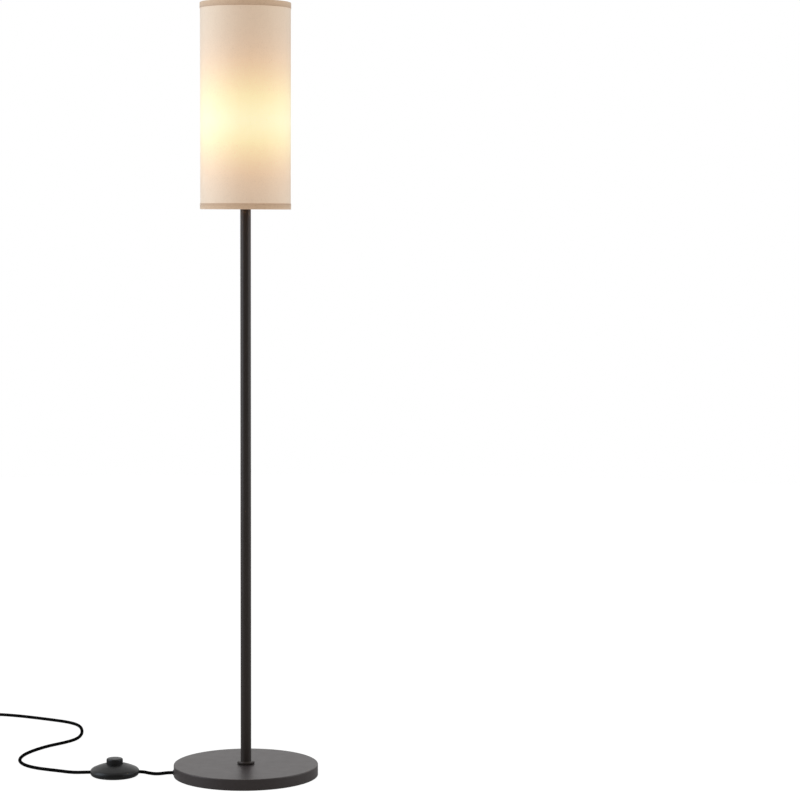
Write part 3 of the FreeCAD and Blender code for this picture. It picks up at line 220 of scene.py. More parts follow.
class Finish:
    # the nodes of a material or of the surroundings, built from their sockets up
    def __init__(self, owner):
        self.owner = bpy.data.materials.new(owner) if isinstance(owner, str) else owner
        self.owner.use_nodes = True
        self.tree = self.owner.node_tree
        self.tree.nodes.clear()

    def add(self, kind, settings=None, inputs=None, output=0):
        # settings first, then the values or links of its sockets
        node = self.tree.nodes.new(kind)
        for key, setting in (settings or {}).items():
            setattr(node, key, setting)
        for key, given in (inputs or {}).items():
            if isinstance(given, Value):
                self.tree.links.new(given.socket, node.inputs[key])
            else:
                node.inputs[key].default_value = given
        return Value(self, node.outputs[output]) if len(node.outputs) else None

    def place(self, output="Object"):
        return self.add("ShaderNodeTexCoord", output=output)

    def parts(self, vector):
        return [self.add("ShaderNodeSeparateXYZ", inputs={0: vector}, output=axis) for axis in range(3)]

    def joined(self, x, y, z=0.0):
        return self.add("ShaderNodeCombineXYZ", inputs={0: x, 1: y, 2: z})

    def only(self, operation, value, second=0.0):
        return self.add("ShaderNodeMath", {"operation": operation}, {0: value, 1: second})

    def noise(self, vector, scale, detail=2.0, roughness=0.5):
        return self.add("ShaderNodeTexNoise", inputs={
            "Vector": vector, "Scale": scale, "Detail": detail, "Roughness": roughness,
        })

    def step(self, value, low, high, start=0.0, end=1.0):
        # smooth change from start to end while the value goes from low to high
        return self.add("ShaderNodeMapRange", {"interpolation_type": "SMOOTHSTEP"}, {
            "Value": value, "From Min": low, "From Max": high, "To Min": start, "To Max": end,
        })

    def mixed(self, share, first, second):
        # sockets 0, 6, 7 and output 2 are a colour Mix node's factor, colours and result
        return self.add("ShaderNodeMix", {"data_type": "RGBA"}, {0: share, 6: first, 7: second}, output=2)

    def scaled(self, colour, factor):
        return self.add("ShaderNodeVectorMath", {"operation": "SCALE"}, {0: colour, "Scale": factor})

    def bump(self, height, distance, strength=1.0):
        return self.add("ShaderNodeBump", inputs={
            "Height": height, "Distance": distance, "Strength": strength,
        })

    def finished(self, **sockets):
        # the surface itself; an underscore in a name stands for a space
        shader = self.add("ShaderNodeBsdfPrincipled", inputs={
            key.replace("_", " "): given for key, given in sockets.items()
        })
        self.add("ShaderNodeOutputMaterial", inputs={"Surface": shader})
        return self.owner


def colour(red, green, blue):
    return (red, green, blue, 1.0)


def grey(level):
    return colour(level, level, level)


def painted(name, light, dark, roughness, peel=0.00002, tint=colour(1.0, 0.9, 0.86), gloss=0.5):
    # sprayed paint: an orange-peel skin with fine dust nibs, peel + nibs / 2 high, and slow changes of tone
    finish = Finish(name)
    spot = finish.place()
    tone = finish.noise(spot, 9, 3)
    peelNoise = finish.noise(spot, 900, 2, 0.6)
    nibs = finish.step(finish.noise(spot, 420, 1), 0.72, 0.80)
    return finish.finished(
        Base_Color=finish.mixed(tone, dark, light),
        Roughness=finish.step(finish.noise(spot, 40, 4), 0.2, 0.8, roughness - 0.02, roughness + 0.02),
        Normal=finish.bump(peelNoise + nibs * 0.5, peel),
        Specular_Tint=tint,
        Specular_IOR_Level=gloss,
    )


def moulded(name, light, dark, roughness, grainScale=1400, grain=0.000012, sheen=0.0, gloss=0.5):
    # moulded plastic or rubber: fine spark-eroded grain, faint flow marks and handling shine
    finish = Finish(name)
    spot = finish.place()
    flow = finish.noise(spot, 14, 3)
    grainNoise = finish.noise(spot, grainScale, 3, 0.6)
    shine = finish.noise(spot, 55, 3)
    return finish.finished(
        Base_Color=finish.mixed(flow, dark, light),
        Roughness=finish.step(shine, 0.25, 0.75, roughness - 0.07, roughness + 0.07),
        Normal=finish.bump(grainNoise, grain),
        Sheen_Weight=sheen,
        Specular_IOR_Level=gloss,
    )


def plated(name, tint, dark, roughness, along=(1, 1, 1), scale=300):
    # bare or plated metal: drawn or turned marks stretched along one way, and a thin tarnish
    finish = Finish(name)
    spot = finish.add("ShaderNodeMapping", inputs={"Vector": finish.place(), "Scale": along})
    marks = finish.noise(spot, scale, 4, 0.65)
    tarnish = finish.step(finish.noise(finish.place(), 70, 4), 0.45, 0.75)
    return finish.finished(
        Base_Color=finish.mixed(tarnish, tint, dark),
        Metallic=1.0,
        Roughness=finish.step(marks, 0.3, 0.7, roughness - 0.08, roughness + 0.12) + tarnish * 0.1,
        Normal=finish.bump(marks, 0.00001),
    )


def castFinish():
    # sand-cast iron: a rough skin, smoother where it is high, with patches of rust
    finish = Finish("rough casting")
    spot = finish.place()
    skin = finish.noise(spot, 500, 5, 0.65)
    rust = finish.step(finish.noise(spot, 30, 4), 0.5, 0.75)
    return finish.finished(
        Base_Color=finish.mixed(rust, colour(0.10, 0.10, 0.10), colour(0.16, 0.09, 0.06)),
        Metallic=0.6,
        Roughness=0.75 - skin * 0.2,
        Normal=finish.bump(skin, 0.0003),
    )


# Linen, lit from the bulb inside. u runs round the drum and v up it, both in metres.
linenLook = {
    "light": colour(0.69, 0.645, 0.52),
    "dark": colour(0.44, 0.36, 0.26),
    "thread": 0.00062,               # pitch of the weave
    "slub": 0.0010,                  # width of a thick yarn
    "slubLength": (0.009, 0.011),    # of the level and the upright thick places
    "fineLength": (0.004, 0.005),
    "slubDark": 0.32,                # how much each darkens the cloth
    "fineDark": 0.14,
    "knotDark": 0.35,
    "glow": (0.38, 0.42, 0.20),      # light through the cloth beside the bulb: red, green, blue
    "reach": (0.125, 0.093, 0.064),  # how far each of them reaches up and down
    "power": (2.6, 2.0, 1.6),        # how sharply each ends
    "rest": (0.17, 0.055, 0.015),    # light through the cloth everywhere
    "below": 1.15,                   # how much faster it fades downwards
    "rise": 0.018,                   # the brightest level, above the foot of the bulb's diffuser
}
hemLook = {
    "light": colour(0.62, 0.475, 0.33),
    "dark": colour(0.33, 0.235, 0.15),
    "thread": 0.000806,
    "twill": 0.0031,
    "slub": 0.0011,
    "slubLength": 0.007,
    "glowShare": 0.45,               # of the light through one cloth
}
bulbLevel = nodeSize("bulb_dome")["low"] * mm + linenLook["rise"]


def slubs(finish, along, across, pitch, length, low, high):
    # thick places in the yarns: every yarn has a noise of its own along its length
    yarn = finish.only("FLOOR", across / pitch)
    spot = finish.joined(along / length, yarn * 5.17)
    return finish.step(finish.noise(spot, 1, 3, 0.6), low, high)


def weaveHeight(finish, u, v, pitch):
    # plain weave: warp and weft take turns on top
    across = u / pitch
    up = v / pitch
    turn = finish.only("MODULO", finish.only("FLOOR", across) + finish.only("FLOOR", up) + 4000.0, 2.0)
    warp = finish.only("ABSOLUTE", finish.only("SINE", across * math.pi))
    weft = finish.only("ABSOLUTE", finish.only("SINE", up * math.pi))
    return warp * (0.45 + 0.55 * turn) + weft * (1.0 - 0.55 * turn)


def glowOf(finish, look):
    # light through the cloth: each colour is rest + glow exp(-(distance / reach) ^ power) from the bulb's
    # level
    level = finish.parts(finish.place())[2]
    away = finish.only("MAXIMUM", level - bulbLevel, (bulbLevel - level) * look["below"])
    channels = []
    for rest, amount, reach, power in zip(look["rest"], look["glow"], look["reach"], look["power"]):
        channels.append(rest + amount * finish.only("EXPONENT", -1.0 * (away / reach) ** power))
    return finish.joined(*channels)


def linenFinish():
    # dark = slubs * patch * slubDark + fine slubs * fineDark + knots * knotDark, and the glow drops by 0.62
    # of it
    finish = Finish("natural linen")
    look = linenLook
    u, v = finish.parts(finish.place("UV"))[:2]
    flat = finish.joined(u, v)
    weave = weaveHeight(finish, u, v, look["thread"])
    patch = finish.step(finish.noise(flat, 38, 2), 0.35, 0.65, 0.35, 1.0)
    level = slubs(finish, u, v, look["slub"], look["slubLength"][0], 0.60, 0.78)
    upright = slubs(finish, v, u, look["slub"], look["slubLength"][1], 0.60, 0.78)
    fineLevel = slubs(finish, u, v, look["thread"], look["fineLength"][0], 0.40, 0.85)
    fineUpright = slubs(finish, v, u, look["thread"], look["fineLength"][1], 0.40, 0.85)
    knots = finish.step(finish.noise(flat, 620, 1), 0.74, 0.80)
    dark = (level + upright) * patch * look["slubDark"] + (fineLevel + fineUpright) * look["fineDark"]
    dark = dark + knots * look["knotDark"]
    cloud = finish.noise(flat, 60, 4, 0.6) * 0.10 - 0.05
    tone = finish.only("MINIMUM", finish.only("MAXIMUM", dark + cloud, 0.0), 1.0)
    height = weave * 0.5 + (level + upright) * 0.8 + knots
    return finish.finished(
        Base_Color=finish.mixed(tone, look["light"], look["dark"]),
        Roughness=0.9,
        Sheen_Weight=0.6,
        Sheen_Roughness=0.45,
        Emission_Color=finish.scaled(glowOf(finish, look), 1.0 - tone * 0.62),
        Emission_Strength=1.0,
        Normal=finish.bump(height, 0.00012, 0.7),
    )


def hemFinish():
    # bias tape: the same yarns at 45 degrees, two cloths thick, so less light comes through
    finish = Finish("bias tape")
    look = hemLook
    u, v = finish.parts(finish.place("UV"))[:2]
    rising = (u + v) * math.sqrt(0.5)
    falling = (u - v) * math.sqrt(0.5)
    weave = weaveHeight(finish, rising, falling, look["thread"])
    twill = finish.only("ABSOLUTE", finish.only("SINE", rising / look["twill"] * math.pi))
    yarns = slubs(finish, rising, falling, look["slub"], look["slubLength"], 0.45, 0.75)
    crossing = slubs(finish, falling, rising, look["slub"], look["slubLength"], 0.45, 0.75)
    tone = finish.only("MINIMUM", yarns * 0.28 + crossing * 0.16 + twill * 0.10, 1.0)
    return finish.finished(
        Base_Color=finish.mixed(tone, look["light"], look["dark"]),
        Roughness=0.92,
        Sheen_Weight=0.5,
        Sheen_Roughness=0.45,
        Emission_Color=finish.scaled(glowOf(finish, linenLook), look["glowShare"]),
        Emission_Strength=1.0,
        Normal=finish.bump(weave * 0.6 + yarns + twill * 0.5, 0.00015, 0.8),
    )


def linerFinish():
    # white film with a faint ripple, lit by the bulb
    finish = Finish("white liner film")
    spot = finish.place()
    ripple = finish.noise(spot, 120, 3)
    glow = dict(linenLook, glow=(0.55, 0.45, 0.28), reach=(0.14, 0.12, 0.10))
    return finish.finished(
        Base_Color=finish.mixed(ripple, colour(0.86, 0.83, 0.77), colour(0.90, 0.88, 0.84)),
        Roughness=0.5 + ripple * 0.1,
        Emission_Color=glowOf(finish, glow),
        Emission_Strength=1.0,
        Normal=finish.bump(ripple, 0.00008),
    )


def bulbFinish():
    # opal diffuser: paler towards its top, warmer over its lowest 22 mm
    finish = Finish("opal diffuser")
    globe = nodeSize("bulb_dome")
    level = finish.parts(finish.place())[2]
    share = finish.step(level, globe["low"] * mm, (globe["low"] + 22) * mm)
    cloud = finish.noise(finish.place(), 90, 2) * 0.06
    return finish.finished(
        Base_Color=colour(0.93, 0.91, 0.86),
        Roughness=0.35 + cloud,
        Emission_Color=finish.mixed(share, colour(1.0, 0.66, 0.32), colour(1.0, 0.86, 0.62)),
        Emission_Strength=4.0,
    )


looks = {
    "pole": painted(
        "satin bronze paint", colour(0.030, 0.025, 0.022), colour(0.027, 0.022, 0.020), 0.36, gloss=0.25,
    ),
    "foot": painted(
        "bronze powder coat", colour(0.030, 0.0245, 0.0245), colour(0.027, 0.0225, 0.0225), 0.42, peel=0.00003,
    ),
    "enamel": painted(
        "white enamel", colour(0.82, 0.81, 0.78), colour(0.76, 0.74, 0.70), 0.38, tint=grey(1.0),
    ),
    "cast": castFinish(),
    "zinc": plated("zinc plate", colour(0.62, 0.62, 0.60), colour(0.42, 0.42, 0.40), 0.34),
    "brass": plated("bare brass", colour(0.80, 0.60, 0.26), colour(0.55, 0.38, 0.16), 0.28),
    "nickel": plated("nickel plate", colour(0.72, 0.71, 0.68), colour(0.50, 0.49, 0.46), 0.24),
    "spring": plated("spring wire", colour(0.55, 0.55, 0.56), colour(0.35, 0.35, 0.36), 0.30),
    "rubber": moulded("matt rubber", grey(0.030), grey(0.020), 0.75, 900, 0.00003),
    "sheath": moulded("black sheath", grey(0.006), grey(0.004), 0.7, 700, 0.00001, gloss=0.0),
    "insulation": moulded("brown insulation", colour(0.25, 0.14, 0.08), colour(0.18, 0.10, 0.06), 0.5),
    "nylon": moulded("black nylon", grey(0.045), grey(0.030), 0.5),
    "phenolic": moulded(
        "black phenolic", colour(0.022, 0.021, 0.020), colour(0.014, 0.013, 0.013), 0.28, 900, 0.000006,
    ),
    "switch": moulded("satin black moulding", grey(0.009), grey(0.006), 0.38, 1600, 0.00001, gloss=0.24),
    "plug": moulded("plug moulding", grey(0.022), grey(0.014), 0.5, 900, 0.00002),
    "strap": moulded(
        "tie strap", colour(0.040, 0.040, 0.042), colour(0.020, 0.020, 0.021), 0.9, 2600, 0.00008, sheen=0.3,
    ),
    "housing": moulded(
        "white housing", colour(0.86, 0.85, 0.82), colour(0.82, 0.80, 0.76), 0.45, 1200, 0.000008,
    ),
    "blackGlass": moulded("black glass", colour(0.012, 0.012, 0.016), colour(0.008, 0.008, 0.010), 0.15),
    "linen": linenFinish(),
    "hem": hemFinish(),
    "liner": linerFinish(),
    "bulb": bulbFinish(),
}
print(len(looks), "finishes made")


# Surfaces
def softCorners(corners, closed=False, steps=5):
    # A polygon of (radius, height, rounding) corners becomes a smooth profile: each corner is the quadratic
    # curve (1-t)^2 A + 2t(1-t) P + t^2 B between points one rounding, and at most 0.42 of a side, before and
    # after it. A row just outside each end keeps the flat stretches flat under smooth shading.
    corners = np.array(corners, float)
    spots, rounding = corners[:, :2], corners[:, 2]
    before = np.roll(spots, 1, axis=0) - spots
    after = np.roll(spots, -1, axis=0) - spots
    lengths = [np.linalg.norm(side, axis=1) for side in (before, after)]
    reach = np.minimum(rounding, 0.42 * np.minimum(*lengths))[:, None, None]
    before = (before / lengths[0][:, None])[:, None, :] * reach
    after = (after / lengths[1][:, None])[:, None, :] * reach
    t = np.linspace(0, 1, steps)[None, :, None]
    middle = spots[:, None, :]
    curve = middle + (1 - t) ** 2 * before + t ** 2 * after
    rows = np.concatenate([middle + before * 1.15, curve, middle + after * 1.15], axis=1)
    if closed:
        profile = rows.reshape(-1, 2)
        return np.concatenate([profile, profile[:1]])
    return np.concatenate([spots[:1], rows[1:-1].reshape(-1, 2), spots[-1:]])


def arcBetween(start, finish, radius, side, count=14):
    # points on the arc of that radius between two profile points; side -1 bulges to the right of the way
    start, finish = np.array(start, float), np.array(finish, float)
    chord = finish - start
    length = np.linalg.norm(chord)
    across = np.array([-chord[1], chord[0]]) / length * side
    centre = (start + finish) / 2 - across * math.sqrt(radius ** 2 - length ** 2 / 4)
    first = math.atan2(*(start - centre)[::-1])
    last = math.atan2(*(finish - centre)[::-1])
    sweep = (last - first + math.pi) % (2 * math.pi) - math.pi
    angle = first + sweep * np.linspace(0, 1, count)
    return centre + radius * np.stack([np.cos(angle), np.sin(angle)], axis=1)


def revolved(profile, sides=160, centre=(0, 0), startAt=None, endAt=None, extra=()):
    # x = radius cos a, y = radius sin a, z = height, for a profile turned about Z, with extra angles between
    # the even ones. startAt and endAt give, for each angle, the length along the profile where the surface
    # starts and ends, so an edge can be notched. Returns the grid in metres and its (u, v): u = angle times
    # the largest radius, v = length along the profile.
    angle = np.unique(np.concatenate([np.linspace(0, 2 * math.pi, sides + 1), *extra]))
    steps = np.linalg.norm(np.diff(profile, axis=0), axis=1)
    length = np.concatenate([[0], np.cumsum(steps)])
    along = np.repeat(length[:, None], len(angle), axis=1)
    if startAt:
        along = np.maximum(along, startAt(angle)[None, :])
    if endAt:
        along = np.minimum(along, length[-1] - endAt(angle)[None, :])
    radius = np.interp(along, length, profile[:, 0])
    height = np.interp(along, length, profile[:, 1])
    grid = np.stack([
        centre[0] + radius * np.cos(angle), centre[1] + radius * np.sin(angle), height,
    ], axis=2) * mm
    around = np.repeat(angle[None, :] * profile[:, 0].max(), len(profile), axis=0)
    return grid, np.stack([around, along], axis=2) * mm


def gridMesh(name, surfaces):
    # one object from grids of points, each with its (u, v): point (row, column) joins its neighbours in
    # fours, and doubled points at seams and poles are merged
    points, faces, spots = [], [], []
    start = 0
    for grid, uv in surfaces:
        rows, columns = grid.shape[:2]
        index = start + np.arange(rows * columns).reshape(rows, columns)
        faces.append(np.stack([
            index[:-1, :-1], index[:-1, 1:], index[1:, 1:], index[1:, :-1],
        ], axis=2).reshape(-1, 4))
        points.append(grid.reshape(-1, 3))
        spots.append(uv.reshape(-1, 2))
        start += rows * columns
    points, faces, spots = (np.concatenate(part) for part in (points, faces, spots))
    mesh = bpy.data.meshes.new(name)
    mesh.vertices.add(len(points))
    mesh.vertices.foreach_set("co", points.astype(np.float32).ravel())
    mesh.loops.add(faces.size)
    mesh.loops.foreach_set("vertex_index", faces.ravel().astype(np.int32))
    mesh.polygons.add(len(faces))
    mesh.polygons.foreach_set("loop_start", np.arange(0, faces.size, 4, dtype=np.int32))
    mesh.update(calc_edges=True)
    layer = mesh.uv_layers.new(name="surface")
    layer.data.foreach_set("uv", spots[faces.ravel()].astype(np.float32).ravel())
    work = bmesh.new()
    work.from_mesh(mesh)
    bmesh.ops.remove_doubles(work, verts=work.verts, dist=2e-6)
    bmesh.ops.dissolve_degenerate(work, edges=work.edges, dist=1e-7)
    work.to_mesh(mesh)
    work.free()
    mesh.shade_smooth()
    piece = bpy.data.objects.new(name, mesh)
    scene.collection.objects.link(piece)
    return piece


def angleOf(grid):
    return np.arctan2(grid[..., 1], grid[..., 0])


def radiusOf(grid):
    return np.hypot(grid[..., 0], grid[..., 1]) / mm


def pushedIn(grid, depth):
    # each point goes that many millimetres towards the axis
    angle = angleOf(grid)
    grid[..., 0] -= depth * mm * np.cos(angle)
    grid[..., 1] -= depth * mm * np.sin(angle)


def threadCut(grid, low, high, fade, depth, pitch):
    # a groove between two levels that winds up by one pitch a turn: depth (1 - cos(2 pi height / pitch - a))
    # / 2
    height = grid[..., 2] / mm
    ends = np.clip(np.minimum(height - low, high - height) / fade, 0, 1)
    return ends * depth * (0.5 - 0.5 * np.cos(2 * math.pi * height / pitch - angleOf(grid)))


def plainWall(radius, low, high, count):
    # a straight profile at one radius
    return np.stack([np.full(count, radius), np.linspace(low, high, count)], axis=1)


def thickened(piece, thickness):
    # the sheet's wall grows inwards from its outer face
    solid = piece.modifiers.new("wall", "SOLIDIFY")
    solid.thickness = thickness * mm
    solid.offset = -1
    solid.use_even_offset = True
    return piece


def dressed(piece, look, body="stand", replaces=()):
    piece.data.materials.clear()
    piece.data.materials.append(looks[look])
    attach(piece, body)
    if replaces:
        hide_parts(*replaces)
    return piece


def turnedPiece(name, corners, look, body="stand", replaces=(), sides=160, closed=True, centre=(0, 0)):
    profile = softCorners(corners, closed)
    piece = gridMesh(name, [revolved(profile, sides, centre)])
    return dressed(piece, look, body, replaces)


def tubeAlong(points, radius, side, sides=16):
    # a round bar along points in one plane: centre + radius (cos a * across + sin a * side), where side is
    # the plane's normal and across is square to the way
    way = np.gradient(points, axis=0)
    way /= np.linalg.norm(way, axis=1)[:, None]
    side = np.array(side, float)
    across = np.cross(side, way)
    angle = np.linspace(0, 2 * math.pi, sides + 1)
    ring = np.cos(angle)[None, :, None] * across[:, None, :]
    ring = ring + np.sin(angle)[None, :, None] * side[None, None, :]
    grid = (points[:, None, :] + radius * ring) * mm
    length = np.concatenate([[0], np.cumsum(np.linalg.norm(np.diff(points, axis=0), axis=1))])
    uv = np.stack(np.meshgrid(angle * radius, length), axis=2) * mm
    return grid, uv


# Foot
foot = {
    "coverWall": 1.2,
    "edgeRound": 2.2,      # spun top edge
    "rodHole": 5.3,        # radius of the hole under the collar
    "notchHalf": 4.75,     # half width of the notch for the grommet
    "notchLevel": 6.4,
    "collarRound": 3.2,
    "collarGap": 0.1,      # from the collar's bore to the tube
}


def makeFoot():
    size = nodeSize("base_cover")
    outer, low, high = size["radius"], size["low"], size["high"]

    def notch(angle):
        # the wall starts above an arch round the grommet, at the side of -X
        y = outer * np.sin(angle)
        arch = np.sqrt(np.maximum(foot["notchHalf"] ** 2 - y ** 2, 0))
        inside = (np.abs(y) < foot["notchHalf"]) & (np.cos(angle) < 0)
        return np.where(inside, foot["notchLevel"] + arch - low, 0)

    corners = [(outer, low + rise, 0.2) for rise in (0, 1, 3, 5, 7, 9, 11, 14, 18)]
    corners += [(outer, high, foot["edgeRound"])]
    corners += [(radius, high, 1.0) for radius in (outer - 8, outer / 2, 20)] + [(foot["rodHole"], high, 0.2)]
    near = math.pi + np.linspace(-0.05, 0.05, 41)
    cover = gridMesh("foot_cover", [revolved(softCorners(corners), 224, startAt=notch, extra=[near])])
    thickened(cover, foot["coverWall"])
    dressed(cover, "foot", replaces=["base_cover"])

    ring = nodeSize("pole_collar")
    bore = nodeSize("pole_lower")["radius"] + foot["collarGap"]
    turnedPiece("foot_collar", [
        (bore, ring["low"], 0.2), (ring["radius"], ring["low"], foot["collarRound"]),
        (ring["radius"], ring["high"], foot["collarRound"]), (bore, ring["high"], 0.6),
    ], "pole", replaces=["pole_collar"], sides=128)


makeFoot()


# Pole
pole = {
    "wall": 1,
    "edgeRound": 0.3,      # outer edges of each section
    "boreRound": 0.15,
}


def makePole():
    for node in ("pole_lower", "pole_middle", "pole_upper"):
        size = nodeSize(node)
        outer, low, high = size["radius"], size["low"], size["high"]
        bore = outer - pole["wall"]
        turnedPiece(node.replace("pole", "tube"), [
            (bore, low, pole["boreRound"]), (outer, low, pole["edgeRound"]),
            (outer, high, pole["edgeRound"]), (bore, high, pole["boreRound"]),
        ], "pole", replaces=[node], sides=128)


makePole()
print("foot and pole made")


# Lamp holder
holder = {
    "rodHole": 5.1,
    "cupWall": 1.6,
    "cupFloor": 3,
    "spigot": 15.3,        # radius of the part inside the cup
    "flange": 2.5,         # its thickness
    "barrel": 16.5,
    "bore": 13.9,
    "boreFloor": 5.4,      # above the cup's edge
    "threadPitch": 2.6,
    "threadDepth": 0.45,
    "nutBore": 16.6,
    "grooves": 24,
    "grooveDepth": 1.1,
    "shellPitch": 3.63,
    "shellWave": 0.12,
    "shellWall": 0.12,
}


def makeHolder():
    cup = nodeSize("socket_cap")
    outer, low, high = cup["radius"], cup["low"], cup["high"]
    inner, hole, floorTop = outer - holder["cupWall"], holder["rodHole"], low + holder["cupFloor"]
    turnedPiece("holder_cup", [
        (hole, low, 0.1), (outer - 4.5, low, 1.5), (outer, low + 5, 2.5), (outer, high, 0.4),
        (inner, high, 0.2), (inner, floorTop, 0.3), (hole, floorTop, 0.1),
    ], "phenolic", replaces=["socket_cap"], sides=128)

    body = nodeSize("socket_body")
    spigot, barrel, bore = holder["spigot"], holder["barrel"], holder["bore"]
    flangeLow, flangeTop, floorTop = high, high + holder["flange"], high + holder["boreFloor"]
    threadLow, threadHigh = flangeTop + 0.8, body["high"] - 1.2
    lower = softCorners([
        (0, body["low"], 0), (spigot, body["low"], 0.4), (spigot, flangeLow, 0.2),
        (body["radius"], flangeLow, 0.5), (body["radius"], flangeTop, 0.7),
        (barrel, flangeTop, 0.2), (barrel, threadLow, 0.1),
    ])
    thread = plainWall(barrel, threadLow, threadHigh, 130)[1:-1]
    upper = softCorners([
        (barrel, threadHigh, 0.1), (barrel, body["high"], 0.5), (bore, body["high"], 0.3),
        (bore, floorTop, 0.3), (0, floorTop, 0),
    ])
    grid, uv = revolved(np.concatenate([lower, thread, upper]), 128)
    onBarrel = np.abs(radiusOf(grid) - barrel) < 0.02
    cut = threadCut(grid, threadLow, threadHigh, 1.0, holder["threadDepth"], holder["threadPitch"])
    pushedIn(grid, cut * onBarrel)
    dressed(gridMesh("holder_body", [(grid, uv)]), "phenolic", replaces=["socket_body"])

    # the ring nut's grip: grooves max(cos(n a) - 0.35, 0) / 0.65 deep, fading out towards its middle
    nut = nodeSize("shade_ring_nut")
    profile = softCorners([
        (holder["nutBore"], nut["low"], 0.2), (nut["radius"], nut["low"], 0.8),
        (nut["radius"], nut["high"], 0.8), (holder["nutBore"], nut["high"], 0.4),
    ], True)
    grid, uv = revolved(profile, 480)
    wave = np.maximum(np.cos(holder["grooves"] * angleOf(grid)) - 0.35, 0) / 0.65
    share = np.clip((radiusOf(grid) - 20) / 2, 0, 1)
    pushedIn(grid, share * wave * holder["grooveDepth"])
    dressed(gridMesh("ring_nut", [(grid, uv)]), "phenolic", replaces=["shade_ring_nut"])

    # the rolled thread of the shell: radius (1 + wave cos(2 pi height / pitch - a))
    shell = nodeSize("socket_screw_shell")
    grid, uv = revolved(plainWall(shell["radius"] - 0.14, shell["low"], shell["high"], 90), 96)
    turn = 2 * math.pi * grid[..., 2] / mm / holder["shellPitch"] - angleOf(grid)
    grid[..., :2] *= (1 + holder["shellWave"] / shell["radius"] * np.cos(turn))[..., None]
    brass = thickened(gridMesh("screw_shell", [(grid, uv)]), holder["shellWall"])
    dressed(brass, "brass", replaces=["socket_screw_shell"])


makeHolder()


# Bulb
bulb = {
    "threadDepth": 0.7,
    "pitch": 3.63,
    "capWall": 0.35,
    "capTop": 3.2,         # plain top of the cap above the thread
    "neck": 16,            # radius of the housing's foot
    "neckHole": 11.8,
    "flare": 3.2,          # power of the housing's flare
    "diffuserWall": 1.4,
}


def makeBulb():
    cap = nodeSize("bulb_cap")
    radius, top = cap["radius"], cap["high"]
    threadLow, threadHigh = cap["low"] + 0.6, top - bulb["capTop"]
    start = np.array([[radius - 0.9, cap["low"]]])
    thread = plainWall(radius, threadLow, threadHigh, 90)
    skirt = softCorners([(radius, top - 3.0, 0.2), (radius, top - 0.4, 0.3), (radius - 1.2, top, 0.2)])
    grid, uv = revolved(np.concatenate([start, thread, skirt]), 112)
    pushedIn(grid, threadCut(grid, threadLow, threadHigh, 0.9, bulb["threadDepth"], bulb["pitch"]))
    threaded = thickened(gridMesh("bulb_screw_cap", [(grid, uv)]), bulb["capWall"])
    dressed(threaded, "nickel", "bulb", ["bulb_cap"])

    # housing: radius = neck + (reach - neck) share ^ flare going up
    housing = nodeSize("bulb_body")
    neck, reach = bulb["neck"], housing["radius"]
    low, high = housing["low"], housing["high"]
    share = np.linspace(0, 1, 24)[1:]
    flare = np.stack([
        neck + (reach - neck) * share ** bulb["flare"], low + 1 + (high - low - 1) * share,
    ], axis=1)
    collar = softCorners([(bulb["neckHole"], low, 0.2), (neck, low, 0.6), (neck, low + 1, 0)])
    profile = np.concatenate([collar, flare])
    shell = thickened(gridMesh("bulb_housing", [revolved(profile, 128)]), bulb["diffuserWall"])
    dressed(shell, "housing", "bulb", ["bulb_body"])

    dome = nodeSize("bulb_dome")
    centre = dome["high"] - dome["radius"]
    start = math.asin((dome["low"] - centre) / dome["radius"])
    angle = np.linspace(start, math.pi / 2, 48)
    profile = np.stack([dome["radius"] * np.cos(angle), centre + dome["radius"] * np.sin(angle)], axis=1)
    globe = thickened(gridMesh("bulb_diffuser", [revolved(profile, 128)]), bulb["diffuserWall"])
    dressed(globe, "bulb", "bulb", ["bulb_dome"])


makeBulb()
print("holder and bulb made")


# Drum shade
shade = {
    "clothWall": 0.8,
    "filmWall": 0.4,
    "unevenness": 0.18,     # how far the cloth strays between the hoops
    "seamWidth": 9,         # lap seam at the back
    "seamRise": 0.5,
    "hemOuter": 93.15,
    "hemInner": 87.35,
    "hemTape": 0.6,
    "hemHeight": 12,
    "hemTurnIn": 8,
    "hoopRadius": 89.6,
    "hoopWire": 3.0,
    "armWire": 2.6,
    "arms": (0, 120, 240),
    "armSlot": 3.0,         # half width of the gap in the tape at an arm
    "ringBelow": 27.7,      # from the top of the lamp holder to the underside of the fitter ring
    "ringOuter": 26,
    "ringBore": 16.8,
    "ringThickness": 2.0,
}


